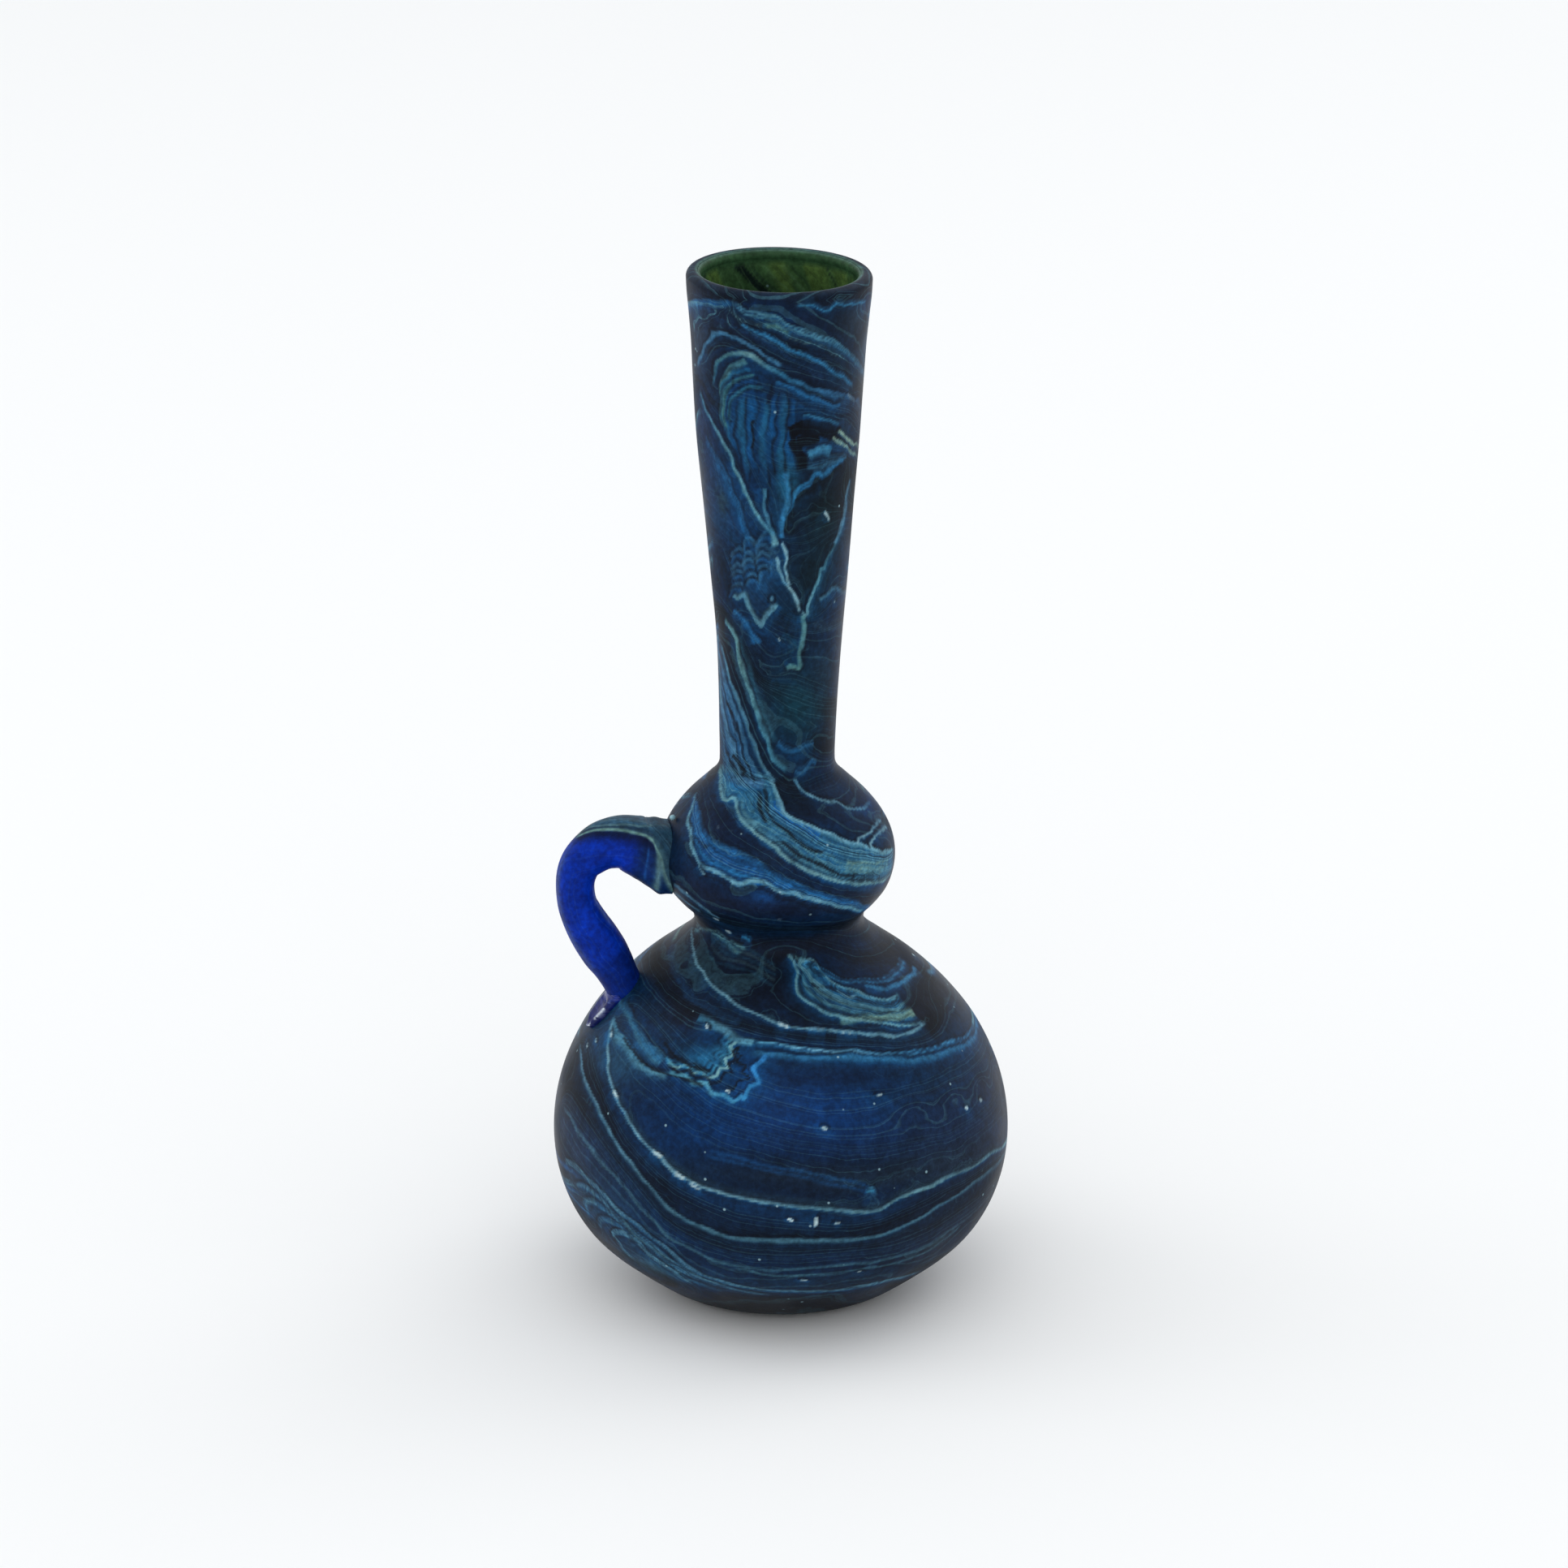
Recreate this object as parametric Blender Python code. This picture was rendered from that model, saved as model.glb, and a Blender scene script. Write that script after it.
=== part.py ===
"""Hand-blown cased-glass vase with a long flared neck, a small knop, a round body and one applied loop handle.

Frame: the vase's turning axis is Z, the plane it stands on is Z = 0, and the handle lies in the XZ plane on the -X side.
Lengths below are millimetres; everything is turned into metres where a mesh is written.

Pieces (each one a closed solid, 0.3 mm clear of what it is fused to on the real object):
  outer_casing   the outer gather, open at the mouth, with a heavy heel, a flat ring to stand on and a kicked-up centre
  inner_lining   the green inner gather that lines the casing and makes the inner half of the lip
  handle         the applied cobalt loop, from the knop to the shoulder
  handle_tail    the sheared end of the handle bit, drawn out and pressed on the shoulder below the handle
  joint_bead     the small bead of glass in the corner over the upper joint
  pontil_mark    the button of glass left in the kick where the punty was cracked off
"""

import math

import bmesh
import bpy
from mathutils import Vector

MM = 0.001

# ---------------------------------------------------------------- driving dimensions, mm
HEIGHT = 240.0
SEGMENTS = 36             # facets round the axis
CHORD_TOL = 0.20          # how far a facet may leave the smooth profile

BODY_R = 52.0             # widest radius of the body
BODY_Z = 37.0
WAIST_R = 19.2            # between body and knop
WAIST_Z = 88.6
KNOP_R = 26.65
KNOP_Z = 104.4
NECK_R = 12.95            # crease between knop and neck
NECK_Z = 127.0
RIM_R = 20.6
LIP_MINOR_R = 1.7         # round of the fire-polished lip
LIP_TILT_DEG = 1.2        # the rim stands a little higher on the handle side

REST_INNER_R = 12.0       # flat ring that the vase stands on
REST_OUTER_R = 19.0
KICK = 3.0                # height of the kicked-up centre

CASING_T = 1.8            # wall of the outer gather
LINING_T = 1.3            # wall of the green lining
GAP = 0.3                 # clearance left where pieces are fused
FLOOR_Z = 7.5             # top of the casing's heavy bottom
HEEL_TOP_Z = 24.0         # height where the heel has thinned to CASING_T
LINING_FLOOR_T = 1.8

# Turned outline from the rest ring to the rim, (radius, height).
WALL = [
    (REST_OUTER_R, 0.0), (24.0, 0.6), (28.6, 2.3), (33.0, 5.3), (37.8, 9.0), (41.6, 12.2), (44.7, 15.4),
    (46.9, 18.5), (48.9, 22.3), (50.4, 26.4), (51.5, 31.0), (BODY_R, BODY_Z), (51.6, 43.2), (50.2, 49.7),
    (47.8, 56.0), (44.4, 62.3), (39.7, 68.6), (35.8, 72.8), (31.2, 77.0), (25.7, 81.2), (21.5, 84.5),
    (19.5, 87.0), (WAIST_R, WAIST_Z), (19.9, 91.0), (22.6, 93.9), (25.0, 97.1), (26.3, 100.7), (KNOP_R, KNOP_Z),
    (25.9, 108.6), (23.9, 112.8), (20.7, 117.0), (16.4, 121.2), (14.0, 123.6), (13.1, 125.4), (NECK_R, NECK_Z),
    (13.1, 134.0), (13.4, 143.0), (14.1, 156.0), (15.4, 171.0), (16.8, 187.5), (18.1, 202.0), (18.9, 215.0),
    (19.4, 224.0), (20.0, 230.7), (20.45, 235.3), (RIM_R, HEIGHT - LIP_MINOR_R),
]

# The axis wanders a little, as free-blown work does: (height, shift along X).
AXIS_DRIFT = [(0.0, 0.0), (60.0, 0.0), (80.0, -0.3), (104.0, -0.8), (126.0, -0.8), (160.0, -0.3), (205.0, -0.6), (240.0, -0.3)]

# Handle centre line in its plane: (distance out from the axis, height, half thickness in the plane, half width across it).
HANDLE_PATH = [
    (28.6, 104.4, 8.2, 7.4), (30.4, 105.3, 7.5, 7.1), (33.0, 106.8, 6.7, 6.8), (36.4, 107.9, 6.05, 6.4),
    (40.3, 107.3, 5.6, 6.0), (43.3, 105.5, 5.1, 5.6), (45.4, 103.4, 4.7, 5.2), (46.5, 100.8, 4.5, 5.0),
    (46.85, 97.8, 4.4, 4.9), (46.4, 93.7, 4.5, 4.9), (45.5, 91.2, 4.75, 5.0), (44.0, 88.1, 5.15, 5.2),
    (42.2, 85.0, 5.4, 5.4), (40.2, 81.6, 5.3, 5.3), (38.6, 78.9, 4.9, 5.0), (37.1, 75.9, 4.5, 4.8),
]
HANDLE_SIDES = 16

TAIL_TOP_Z = 68.4         # shoulder heights that the tail runs between
TAIL_TIP_Z = 63.6
TAIL_HALF_W = (4.1, 3.9, 3.3, 2.4, 1.3)
TAIL_T = (2.0, 2.1, 2.0, 1.7, 1.1)

BEAD_R = 0.95
BEAD_AT = (25.1, 114.0, -2.0)   # out from the axis, height, and along Y

PONTIL_R = 4.6
PONTIL_TOP = 2.0
PONTIL_BOTTOM = 1.0


# ---------------------------------------------------------------- curves
def smooth_curve(points, steps):
    """Points on a centripetal Catmull-Rom curve through the given points, steps to a span."""
    pts = [Vector(p) for p in points]
    pts = [pts[0] * 2 - pts[1]] + pts + [pts[-1] * 2 - pts[-2]]
    out = []
    for i in range(1, len(pts) - 2):
        p0, p1, p2, p3 = pts[i - 1], pts[i], pts[i + 1], pts[i + 2]
        t0 = 0.0
        t1 = t0 + math.sqrt((p1 - p0).length)
        t2 = t1 + math.sqrt((p2 - p1).length)
        t3 = t2 + math.sqrt((p3 - p2).length)
        for k in range(steps):
            t = t1 + (t2 - t1) * k / steps
            a1 = p0 * ((t1 - t) / (t1 - t0)) + p1 * ((t - t0) / (t1 - t0))
            a2 = p1 * ((t2 - t) / (t2 - t1)) + p2 * ((t - t1) / (t2 - t1))
            a3 = p2 * ((t3 - t) / (t3 - t2)) + p3 * ((t - t2) / (t3 - t2))
            b1 = a1 * ((t2 - t) / (t2 - t0)) + a2 * ((t - t0) / (t2 - t0))
            b2 = a2 * ((t3 - t) / (t3 - t1)) + a3 * ((t - t1) / (t3 - t1))
            out.append(b1 * ((t2 - t) / (t2 - t1)) + b2 * ((t - t1) / (t2 - t1)))
    out.append(pts[-2].copy())
    return out


def keep_corners(pts, tol):
    """Indices of the fewest points that stay within tol of the polyline (Douglas-Peucker)."""
    keep = {0, len(pts) - 1}
    stack = [(0, len(pts) - 1)]
    while stack:
        a, b = stack.pop()
        d = pts[b] - pts[a]
        worst, at = 0.0, -1
        for i in range(a + 1, b):
            v = pts[i] - pts[a]
            off = abs(d.x * v.y - d.y * v.x) / d.length
            if off > worst:
                worst, at = off, i
        if worst > tol:
            keep.add(at)
            stack += [(a, at), (at, b)]
    return sorted(keep)


def smoothstep(x, lo, hi):
    t = min(1.0, max(0.0, (x - lo) / (hi - lo)))
    return t * t * (3 - 2 * t)


def drift(z):
    """Sideways shift of the axis at a height."""
    for (za, xa), (zb, xb) in zip(AXIS_DRIFT, AXIS_DRIFT[1:]):
        if z <= zb:
            return xa + (xb - xa) * smoothstep(z, za, zb)
    return AXIS_DRIFT[-1][1]


def lip_lift(x, z):
    """Height that the tilted rim adds at x."""
    return -x * math.tan(math.radians(LIP_TILT_DEG)) * smoothstep(z, 200.0, HEIGHT)


WALL_FINE = smooth_curve(WALL, 12)
NEAR_RIM = min(range(len(WALL_FINE)), key=lambda i: abs(WALL_FINE[i].y - (HEIGHT - 4.5)))
WALL_CORNERS = sorted(set(keep_corners(WALL_FINE, CHORD_TOL)) | {NEAR_RIM})


def wall_radius(z):
    """Outer radius at a height above the heel."""
    for a, b in zip(WALL_FINE, WALL_FINE[1:]):
        if a.y <= z <= b.y and b.y > a.y:
            return a.x + (b.x - a.x) * (z - a.y) / (b.y - a.y)
    return 0.0


def wall_normal(i):
    a = WALL_FINE[max(0, i - 1)]
    b = WALL_FINE[min(len(WALL_FINE) - 1, i + 1)]
    t = (b - a).normalized()
    return Vector((t.y, -t.x))


def inward(depth, floor_z, heel_top):
    """The wall's kept stations moved into the glass by depth, thickening towards floor_z in the heel."""
    out = []
    for i in WALL_CORNERS:
        p = WALL_FINE[i]
        if p.y > HEIGHT - 4.0:
            continue
        t = depth + (floor_z - depth) * (1 - smoothstep(p.y, 0.0, heel_top))
        n = wall_normal(i) if i else Vector((0.0, -1.0))
        q = p - n * t
        if not out or (q.x > out[-1].x + 0.3 or q.y > out[-1].y + 0.3):
            out.append(q)
    return out


def lip_point(degrees):
    a = math.radians(degrees)
    return Vector((RIM_R - LIP_MINOR_R + LIP_MINOR_R * math.cos(a), HEIGHT - LIP_MINOR_R + LIP_MINOR_R * math.sin(a)))


# ---------------------------------------------------------------- mesh making
def material(name, rgb, roughness, transmission=0.0):
    mat = bpy.data.materials.new(name)
    mat.use_nodes = True
    bsdf = mat.node_tree.nodes["Principled BSDF"]
    bsdf.inputs["Base Color"].default_value = (*rgb, 1.0)
    bsdf.inputs["Roughness"].default_value = roughness
    bsdf.inputs["Metallic"].default_value = 0.0
    bsdf.inputs["Transmission Weight"].default_value = transmission
    bsdf.inputs["IOR"].default_value = 1.5
    mat.diffuse_color = (*rgb, 1.0)
    return mat


def add_object(name, bm, mat):
    bmesh.ops.recalc_face_normals(bm, faces=bm.faces)
    if bm.calc_volume(signed=True) < 0:
        bmesh.ops.reverse_faces(bm, faces=bm.faces)
    mesh = bpy.data.meshes.new(name)
    bm.to_mesh(mesh)
    bm.free()
    mesh.shade_smooth()
    mesh.set_sharp_from_angle(angle=math.radians(40))
    mesh.materials.append(mat)
    obj = bpy.data.objects.new(name, mesh)
    bpy.context.scene.collection.objects.link(obj)
    return obj


def turned(name, outline, mat):
    """Spin a closed outline, which starts and ends on the axis, round Z; then give it the drift and the tilted rim."""
    bm = bmesh.new()
    verts = [bm.verts.new((p.x * MM, 0.0, p.y * MM)) for p in outline]
    edges = [bm.edges.new((a, b)) for a, b in zip(verts, verts[1:])]
    bmesh.ops.spin(bm, geom=verts + edges, cent=(0, 0, 0), axis=(0, 0, 1), dvec=(0, 0, 0),
                   angle=2 * math.pi, steps=SEGMENTS, use_duplicate=False)
    bmesh.ops.remove_doubles(bm, verts=bm.verts, dist=0.00002)
    for v in bm.verts:
        x, z = v.co.x / MM, v.co.z / MM
        v.co.z += lip_lift(x, z) * MM
        v.co.x += drift(z) * MM
    return add_object(name, bm, mat)


def on_wall(y, z, clearance):
    """X, on the -X side, of the point that stands clearance outside the casing at this y and z."""
    r = wall_radius(z) + clearance
    return drift(z) - math.sqrt(max(r * r - y * y, 0.0))


def slide_to_wall(p, d, clearance):
    """Move p along d until it is clearance outside the casing."""
    def inside(t):
        q = p + d * t
        return q.x > on_wall(q.y, q.z, clearance)
    lo, hi = 0.0, 0.0
    while not inside(hi) and hi < 30.0:
        lo, hi = hi, hi + 0.25
    for _ in range(40):
        mid = (lo + hi) / 2
        if inside(mid):
            hi = mid
        else:
            lo = mid
    return p + d * lo


def section(centre, tangent, half_t, half_w, power):
    """One ring of the handle: a rounded section square to the centre line."""
    normal = Vector((-tangent.z, 0.0, tangent.x))
    ring = []
    for k in range(HANDLE_SIDES):
        a = 2 * math.pi * k / HANDLE_SIDES
        c, s = math.cos(a), math.sin(a)
        c = math.copysign(abs(c) ** (2 / power), c)
        s = math.copysign(abs(s) ** (2 / power), s)
        ring.append(centre + normal * (half_t * c) + Vector((0, 1, 0)) * (half_w * s))
    return ring


def loft(bm, rings, caps):
    """Skin rings of points, closing each end with the shrinking rings of caps and a centre point."""
    start, end = caps
    all_rings = list(reversed(start[:-1])) + rings + end[:-1]
    made = [[bm.verts.new(p * MM) for p in ring] for ring in all_rings]
    n = len(rings[0])
    for a, b in zip(made, made[1:]):
        for k in range(n):
            bm.faces.new((a[k], a[(k + 1) % n], b[(k + 1) % n], b[k]))
    for centre, ring in ((start[-1], made[0]), (end[-1], made[-1])):
        c = bm.verts.new(centre * MM)
        for k in range(n):
            bm.faces.new((c, ring[k], ring[(k + 1) % n]))


def end_cap(ring, d, clearance):
    """Rings that close an end face lying against the casing: the outer ring and smaller copies, all slid along d to the wall."""
    middle = sum(ring, Vector()) / len(ring)
    rings = []
    for scale in (1.0, 0.66, 0.33):
        rings.append([slide_to_wall(middle + (p - middle) * scale, d, clearance) for p in ring])
    return rings + [slide_to_wall(middle, d, clearance)]


# ---------------------------------------------------------------- the pieces
def outer_casing(mat):
    kick = []
    for k in range(4):
        r = REST_INNER_R * k / 4
        kick.append(Vector((r, KICK * (1 - (r / REST_INNER_R) ** 2))))
    outside = kick + [Vector((REST_INNER_R, 0.0))] + [WALL_FINE[i] for i in WALL_CORNERS[:-1]]
    lip = [lip_point(a) for a in (0, 30, 60, 85)]
    inside = inward(CASING_T, FLOOR_Z, HEEL_TOP_Z)
    top = Vector((inside[-1].x + 0.02, lip_point(97).y))
    inside = [Vector((0.0, FLOOR_Z)), Vector((10.0, FLOOR_Z))] + inside
    return turned("outer_casing", outside + lip + [top] + list(reversed(inside)), mat)


def inner_lining(mat):
    outside = inward(CASING_T + GAP, FLOOR_Z + GAP, HEEL_TOP_Z)
    inside = inward(CASING_T + GAP + LINING_T, FLOOR_Z + GAP + LINING_FLOOR_T, HEEL_TOP_Z)
    top = Vector((outside[-1].x + 0.02, lip_point(108).y))
    lip = [lip_point(a) for a in (125, 150, 180)]
    outside = [Vector((0.0, FLOOR_Z + GAP)), Vector((10.0, FLOOR_Z + GAP))] + outside
    floor = FLOOR_Z + GAP + LINING_FLOOR_T
    inside = [Vector((0.0, floor)), Vector((9.0, floor))] + inside
    return turned("inner_lining", outside + [top] + lip + list(reversed(inside)), mat)


def handle(mat):
    centres = smooth_curve([(-u, 0.0, z) for u, z, _, _ in HANDLE_PATH], 2)
    sizes = smooth_curve([(t, w, 0.0) for _, _, t, w in HANDLE_PATH], 2)
    rings = []
    last = len(centres) - 1
    for i, (c, s) in enumerate(zip(centres, sizes)):
        tangent = (centres[min(last, i + 1)] - centres[max(0, i - 1)]).normalized()
        tangent = Vector((-1.0, 0.0, 0.0)).lerp(tangent, smoothstep(i / last, 0.0, 0.2)).normalized()
        power = 2.0 + 0.9 * (1 - smoothstep(i / last, 0.0, 0.25))
        rings.append(section(c, tangent, s.x, s.y, power))
    clearance = 0.45
    top = end_cap(rings[0], Vector((1.0, 0.0, 0.0)), clearance)
    bottom = end_cap(rings[-1], (centres[-1] - centres[-2]).normalized(), clearance)
    bm = bmesh.new()
    loft(bm, rings, (top, bottom))
    return add_object("handle", bm, mat)


def handle_tail(mat):
    """A drawn-out tongue on the shoulder, thick at the rim and dished along the middle."""
    rows, cols = len(TAIL_HALF_W), 9
    bm = bmesh.new()
    under, over = [], []
    for i in range(rows):
        z = TAIL_TOP_Z + (TAIL_TIP_Z - TAIL_TOP_Z) * i / (rows - 1)
        for j in range(cols):
            v = 2 * j / (cols - 1) - 1
            y = TAIL_HALF_W[i] * v
            p = Vector((on_wall(y, z, 0.45), y, z))
            slope = (wall_radius(z + 0.5) - wall_radius(z - 0.5))
            out = Vector((p.x - drift(z), y, 0.0)).normalized()
            normal = (out - Vector((0.0, 0.0, slope))).normalized()
            rim = 1 - 0.45 * max(0.0, 1 - (v / 0.7) ** 2)
            edge = 0.35 if abs(v) > 0.99 else 1.0
            under.append(p)
            over.append(p + normal * (TAIL_T[i] * rim * edge))
    a = [bm.verts.new(p * MM) for p in under]
    b = [bm.verts.new(p * MM) for p in over]

    def at(grid, i, j):
        return grid[i * cols + j]
    for i in range(rows - 1):
        for j in range(cols - 1):
            bm.faces.new((at(a, i, j), at(a, i, j + 1), at(a, i + 1, j + 1), at(a, i + 1, j)))
            bm.faces.new((at(b, i, j), at(b, i + 1, j), at(b, i + 1, j + 1), at(b, i, j + 1)))
    rim_path = [(0, j) for j in range(cols)] + [(i, cols - 1) for i in range(1, rows)]
    rim_path += [(rows - 1, j) for j in range(cols - 2, -1, -1)] + [(i, 0) for i in range(rows - 2, 0, -1)]
    for (i, j), (k, m) in zip(rim_path, rim_path[1:] + rim_path[:1]):
        bm.faces.new((at(a, i, j), at(b, i, j), at(b, k, m), at(a, k, m)))
    return add_object("handle_tail", bm, mat)


def joint_bead(mat):
    bm = bmesh.new()
    bmesh.ops.create_icosphere(bm, subdivisions=2, radius=BEAD_R * MM)
    u, z, y = BEAD_AT
    for v in bm.verts:
        v.co = Vector((v.co.x * 1.0 - u * MM, v.co.y * 1.15 + y * MM, v.co.z + z * MM))
    return add_object("joint_bead", bm, mat)


def pontil_mark(mat):
    """A low button with a broken, uneven edge, clear of the plane that the vase stands on."""
    n = 18
    bm = bmesh.new()
    rings = []
    for scale, z in ((1.0, PONTIL_BOTTOM + 0.35), (0.86, PONTIL_BOTTOM), (0.45, PONTIL_BOTTOM + 0.25)):
        rings.append((scale, z))
    upper = [(0.95, PONTIL_TOP), (0.5, PONTIL_TOP + 0.3)]
    stack = list(reversed(upper)) + rings
    made = []
    for scale, z in stack:
        ring = []
        for k in range(n):
            a = 2 * math.pi * k / n
            r = PONTIL_R * scale * (1 + 0.06 * math.sin(3 * a + 0.7) + 0.03 * math.sin(7 * a))
            ring.append(bm.verts.new((r * math.cos(a) * MM, r * math.sin(a) * MM, z * MM)))
        made.append(ring)
    for p, q in zip(made, made[1:]):
        for k in range(n):
            bm.faces.new((p[k], p[(k + 1) % n], q[(k + 1) % n], q[k]))
    top = bm.verts.new((0, 0, (PONTIL_TOP + 0.4) * MM))
    low = bm.verts.new((0, 0, (PONTIL_BOTTOM + 0.4) * MM))
    for k in range(n):
        bm.faces.new((top, made[0][k], made[0][(k + 1) % n]))
        bm.faces.new((low, made[-1][(k + 1) % n], made[-1][k]))
    return add_object("pontil_mark", bm, mat)


def main():
    for obj in list(bpy.data.objects):
        bpy.data.objects.remove(obj, do_unlink=True)
    navy = material("swirled_navy_glass", (0.020, 0.075, 0.150), 0.45)
    green = material("green_lining_glass", (0.012, 0.050, 0.030), 0.30)
    cobalt = material("cobalt_glass", (0.002, 0.030, 0.290), 0.38)
    seal = material("sheared_glass", (0.020, 0.045, 0.200), 0.12)
    clear = material("clear_bead_glass", (0.350, 0.450, 0.450), 0.08, 0.4)
    punty = material("pontil_glass", (0.060, 0.160, 0.180), 0.20)
    outer_casing(navy)
    inner_lining(green)
    handle(cobalt)
    handle_tail(seal)
    joint_bead(clear)
    pontil_mark(punty)


main()
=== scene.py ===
import math
import bpy
import numpy as np
from mathutils import Matrix, Vector


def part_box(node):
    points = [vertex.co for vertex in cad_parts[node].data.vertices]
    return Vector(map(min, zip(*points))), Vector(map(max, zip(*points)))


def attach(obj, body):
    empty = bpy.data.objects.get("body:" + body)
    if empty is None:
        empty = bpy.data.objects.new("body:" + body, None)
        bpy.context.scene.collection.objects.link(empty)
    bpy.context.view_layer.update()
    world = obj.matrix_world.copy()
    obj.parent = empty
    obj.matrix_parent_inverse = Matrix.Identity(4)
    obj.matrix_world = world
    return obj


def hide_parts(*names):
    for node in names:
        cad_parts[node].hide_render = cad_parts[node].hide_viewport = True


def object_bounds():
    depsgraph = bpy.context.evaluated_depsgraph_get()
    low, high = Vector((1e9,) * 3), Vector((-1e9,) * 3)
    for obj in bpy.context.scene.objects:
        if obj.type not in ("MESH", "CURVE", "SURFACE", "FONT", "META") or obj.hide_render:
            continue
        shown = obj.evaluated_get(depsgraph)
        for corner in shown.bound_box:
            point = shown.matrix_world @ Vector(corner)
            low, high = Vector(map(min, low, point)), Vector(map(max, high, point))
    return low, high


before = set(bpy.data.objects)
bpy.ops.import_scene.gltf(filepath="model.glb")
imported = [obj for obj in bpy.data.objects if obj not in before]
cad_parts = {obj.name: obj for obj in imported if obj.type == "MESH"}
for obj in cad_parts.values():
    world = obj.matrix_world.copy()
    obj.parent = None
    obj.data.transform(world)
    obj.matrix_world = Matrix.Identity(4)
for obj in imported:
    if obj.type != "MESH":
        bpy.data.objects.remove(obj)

CAD_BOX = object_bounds()
MM = 0.001
TAU = 2 * math.pi

# ---------------------------------------------------------------- form, in mm
WALL = [
    (19.0, 0.0), (24.0, 0.6), (28.6, 2.3), (33.0, 5.3), (37.8, 9.0), (41.6, 12.2), (44.7, 15.4), (46.9, 18.5),
    (48.9, 22.3), (50.4, 26.4), (51.5, 31.0), (52.0, 37.0), (51.6, 43.2), (50.2, 49.7), (47.8, 56.0), (44.4, 62.3),
    (39.7, 68.6), (35.8, 72.8), (31.2, 77.0), (25.7, 81.2), (21.5, 84.5), (19.5, 87.0), (19.2, 88.6), (19.9, 91.0),
    (22.6, 93.9), (25.0, 97.1), (26.3, 100.7), (26.65, 104.4), (25.9, 108.6), (23.9, 112.8), (20.7, 117.0),
    (16.4, 121.2), (14.0, 123.6), (13.1, 125.4), (12.95, 127.0), (13.1, 134.0), (13.4, 143.0), (14.1, 156.0),
    (15.4, 171.0), (16.8, 187.5), (18.1, 202.0), (18.9, 215.0), (19.4, 224.0), (20.0, 230.7), (20.45, 235.3),
    (20.6, 238.3)]
LIP_C = (18.9, 238.3)
LIP_R = 1.7
LIP_TILT = math.tan(math.radians(1.2))
AXIS_DRIFT = [(0.0, 0.0), (60.0, 0.0), (80.0, -0.3), (104.0, -0.8), (126.0, -0.8), (160.0, -0.3), (205.0, -0.6), (240.0, -0.3)]


def smooth(x, lo=0.0, hi=1.0):
    t = np.clip((np.asarray(x, float) - lo) / (hi - lo), 0, 1)
    return t * t * (3 - 2 * t)


def curve(points, steps):
    """Centripetal Catmull-Rom through the points."""
    pts = np.array(points, float)
    pts = np.vstack([2 * pts[0] - pts[1], pts, 2 * pts[-1] - pts[-2]])
    out = []
    for i in range(1, len(pts) - 2):
        p0, p1, p2, p3 = pts[i - 1:i + 3]
        t1 = max(math.sqrt(np.linalg.norm(p1 - p0)), 1e-4)
        t2 = t1 + max(math.sqrt(np.linalg.norm(p2 - p1)), 1e-4)
        t3 = t2 + max(math.sqrt(np.linalg.norm(p3 - p2)), 1e-4)
        for k in range(steps):
            t = t1 + (t2 - t1) * k / steps
            a1 = p0 * ((t1 - t) / t1) + p1 * (t / t1)
            a2 = p1 * ((t2 - t) / (t2 - t1)) + p2 * ((t - t1) / (t2 - t1))
            a3 = p2 * ((t3 - t) / (t3 - t2)) + p3 * ((t - t2) / (t3 - t2))
            b1 = a1 * ((t2 - t) / t2) + a2 * (t / t2)
            b2 = a2 * ((t3 - t) / (t3 - t1)) + a3 * ((t - t1) / (t3 - t1))
            out.append(b1 * ((t2 - t) / (t2 - t1)) + b2 * ((t - t1) / (t2 - t1)))
    out.append(pts[-2])
    return np.array(out)


FINE = curve(WALL, 12)
ARC = np.r_[0, np.cumsum(np.linalg.norm(np.diff(FINE, axis=0), axis=1))]


def s_of_z(z):
    return np.interp(z, FINE[:, 1], ARC)


def radius(z):
    return np.interp(z, FINE[:, 1], FINE[:, 0])


def drift(z):
    z = np.asarray(z, float)
    out = np.full(z.shape, AXIS_DRIFT[-1][1])
    for (za, xa), (zb, xb) in reversed(list(zip(AXIS_DRIFT, AXIS_DRIFT[1:]))):
        out = np.where(z <= zb, xa + (xb - xa) * smooth(z, za, zb), out)
    return out


def lean(x, z):
    """The rim stands a little higher on the handle side."""
    return -x * LIP_TILT * smooth(z, 200.0, 240.0)


def place(r, th, z):
    """Points on a turned form, with the slow wander of its axis. r and z per row, th per column."""
    r = np.asarray(r, float)[:, None]
    z = np.asarray(z, float)[:, None]
    x = r * np.cos(th)[None, :]
    y = r * np.sin(th)[None, :]
    return np.stack([x + drift(z), y + 0 * x, z + lean(x, z)], -1)


# ------------------------------------------------------------------- noise
rng = np.random.RandomState(41)


def periodic_noise(rng, octaves, cells, rows_at, cols_at, fall=0.55):
    """Smooth value noise on (row coordinate, angle 0..1), periodic in the angle. cells = (rows, columns) of the first octave."""
    out = np.zeros((len(rows_at), len(cols_at)))
    amp = 1.0
    total = 0.0
    for o in range(octaves):
        nr, nc = cells[0] * 2 ** o, cells[1] * 2 ** o
        g = rng.rand(nr + 3, nc)
        fr = np.clip(rows_at, 0, 1) * nr
        fc = (np.asarray(cols_at) % 1.0) * nc
        i, j = fr.astype(int), fc.astype(int)
        u, v = (fr - i)[:, None], (fc - j)[None, :]
        u, v = u * u * (3 - 2 * u), v * v * (3 - 2 * v)
        a, b = g[i][:, j % nc], g[i][:, (j + 1) % nc]
        c, d = g[i + 1][:, j % nc], g[i + 1][:, (j + 1) % nc]
        out += amp * ((a * (1 - v) + b * v) * (1 - u) + (c * (1 - v) + d * v) * u)
        total += amp
        amp *= fall
    return out / total


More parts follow.
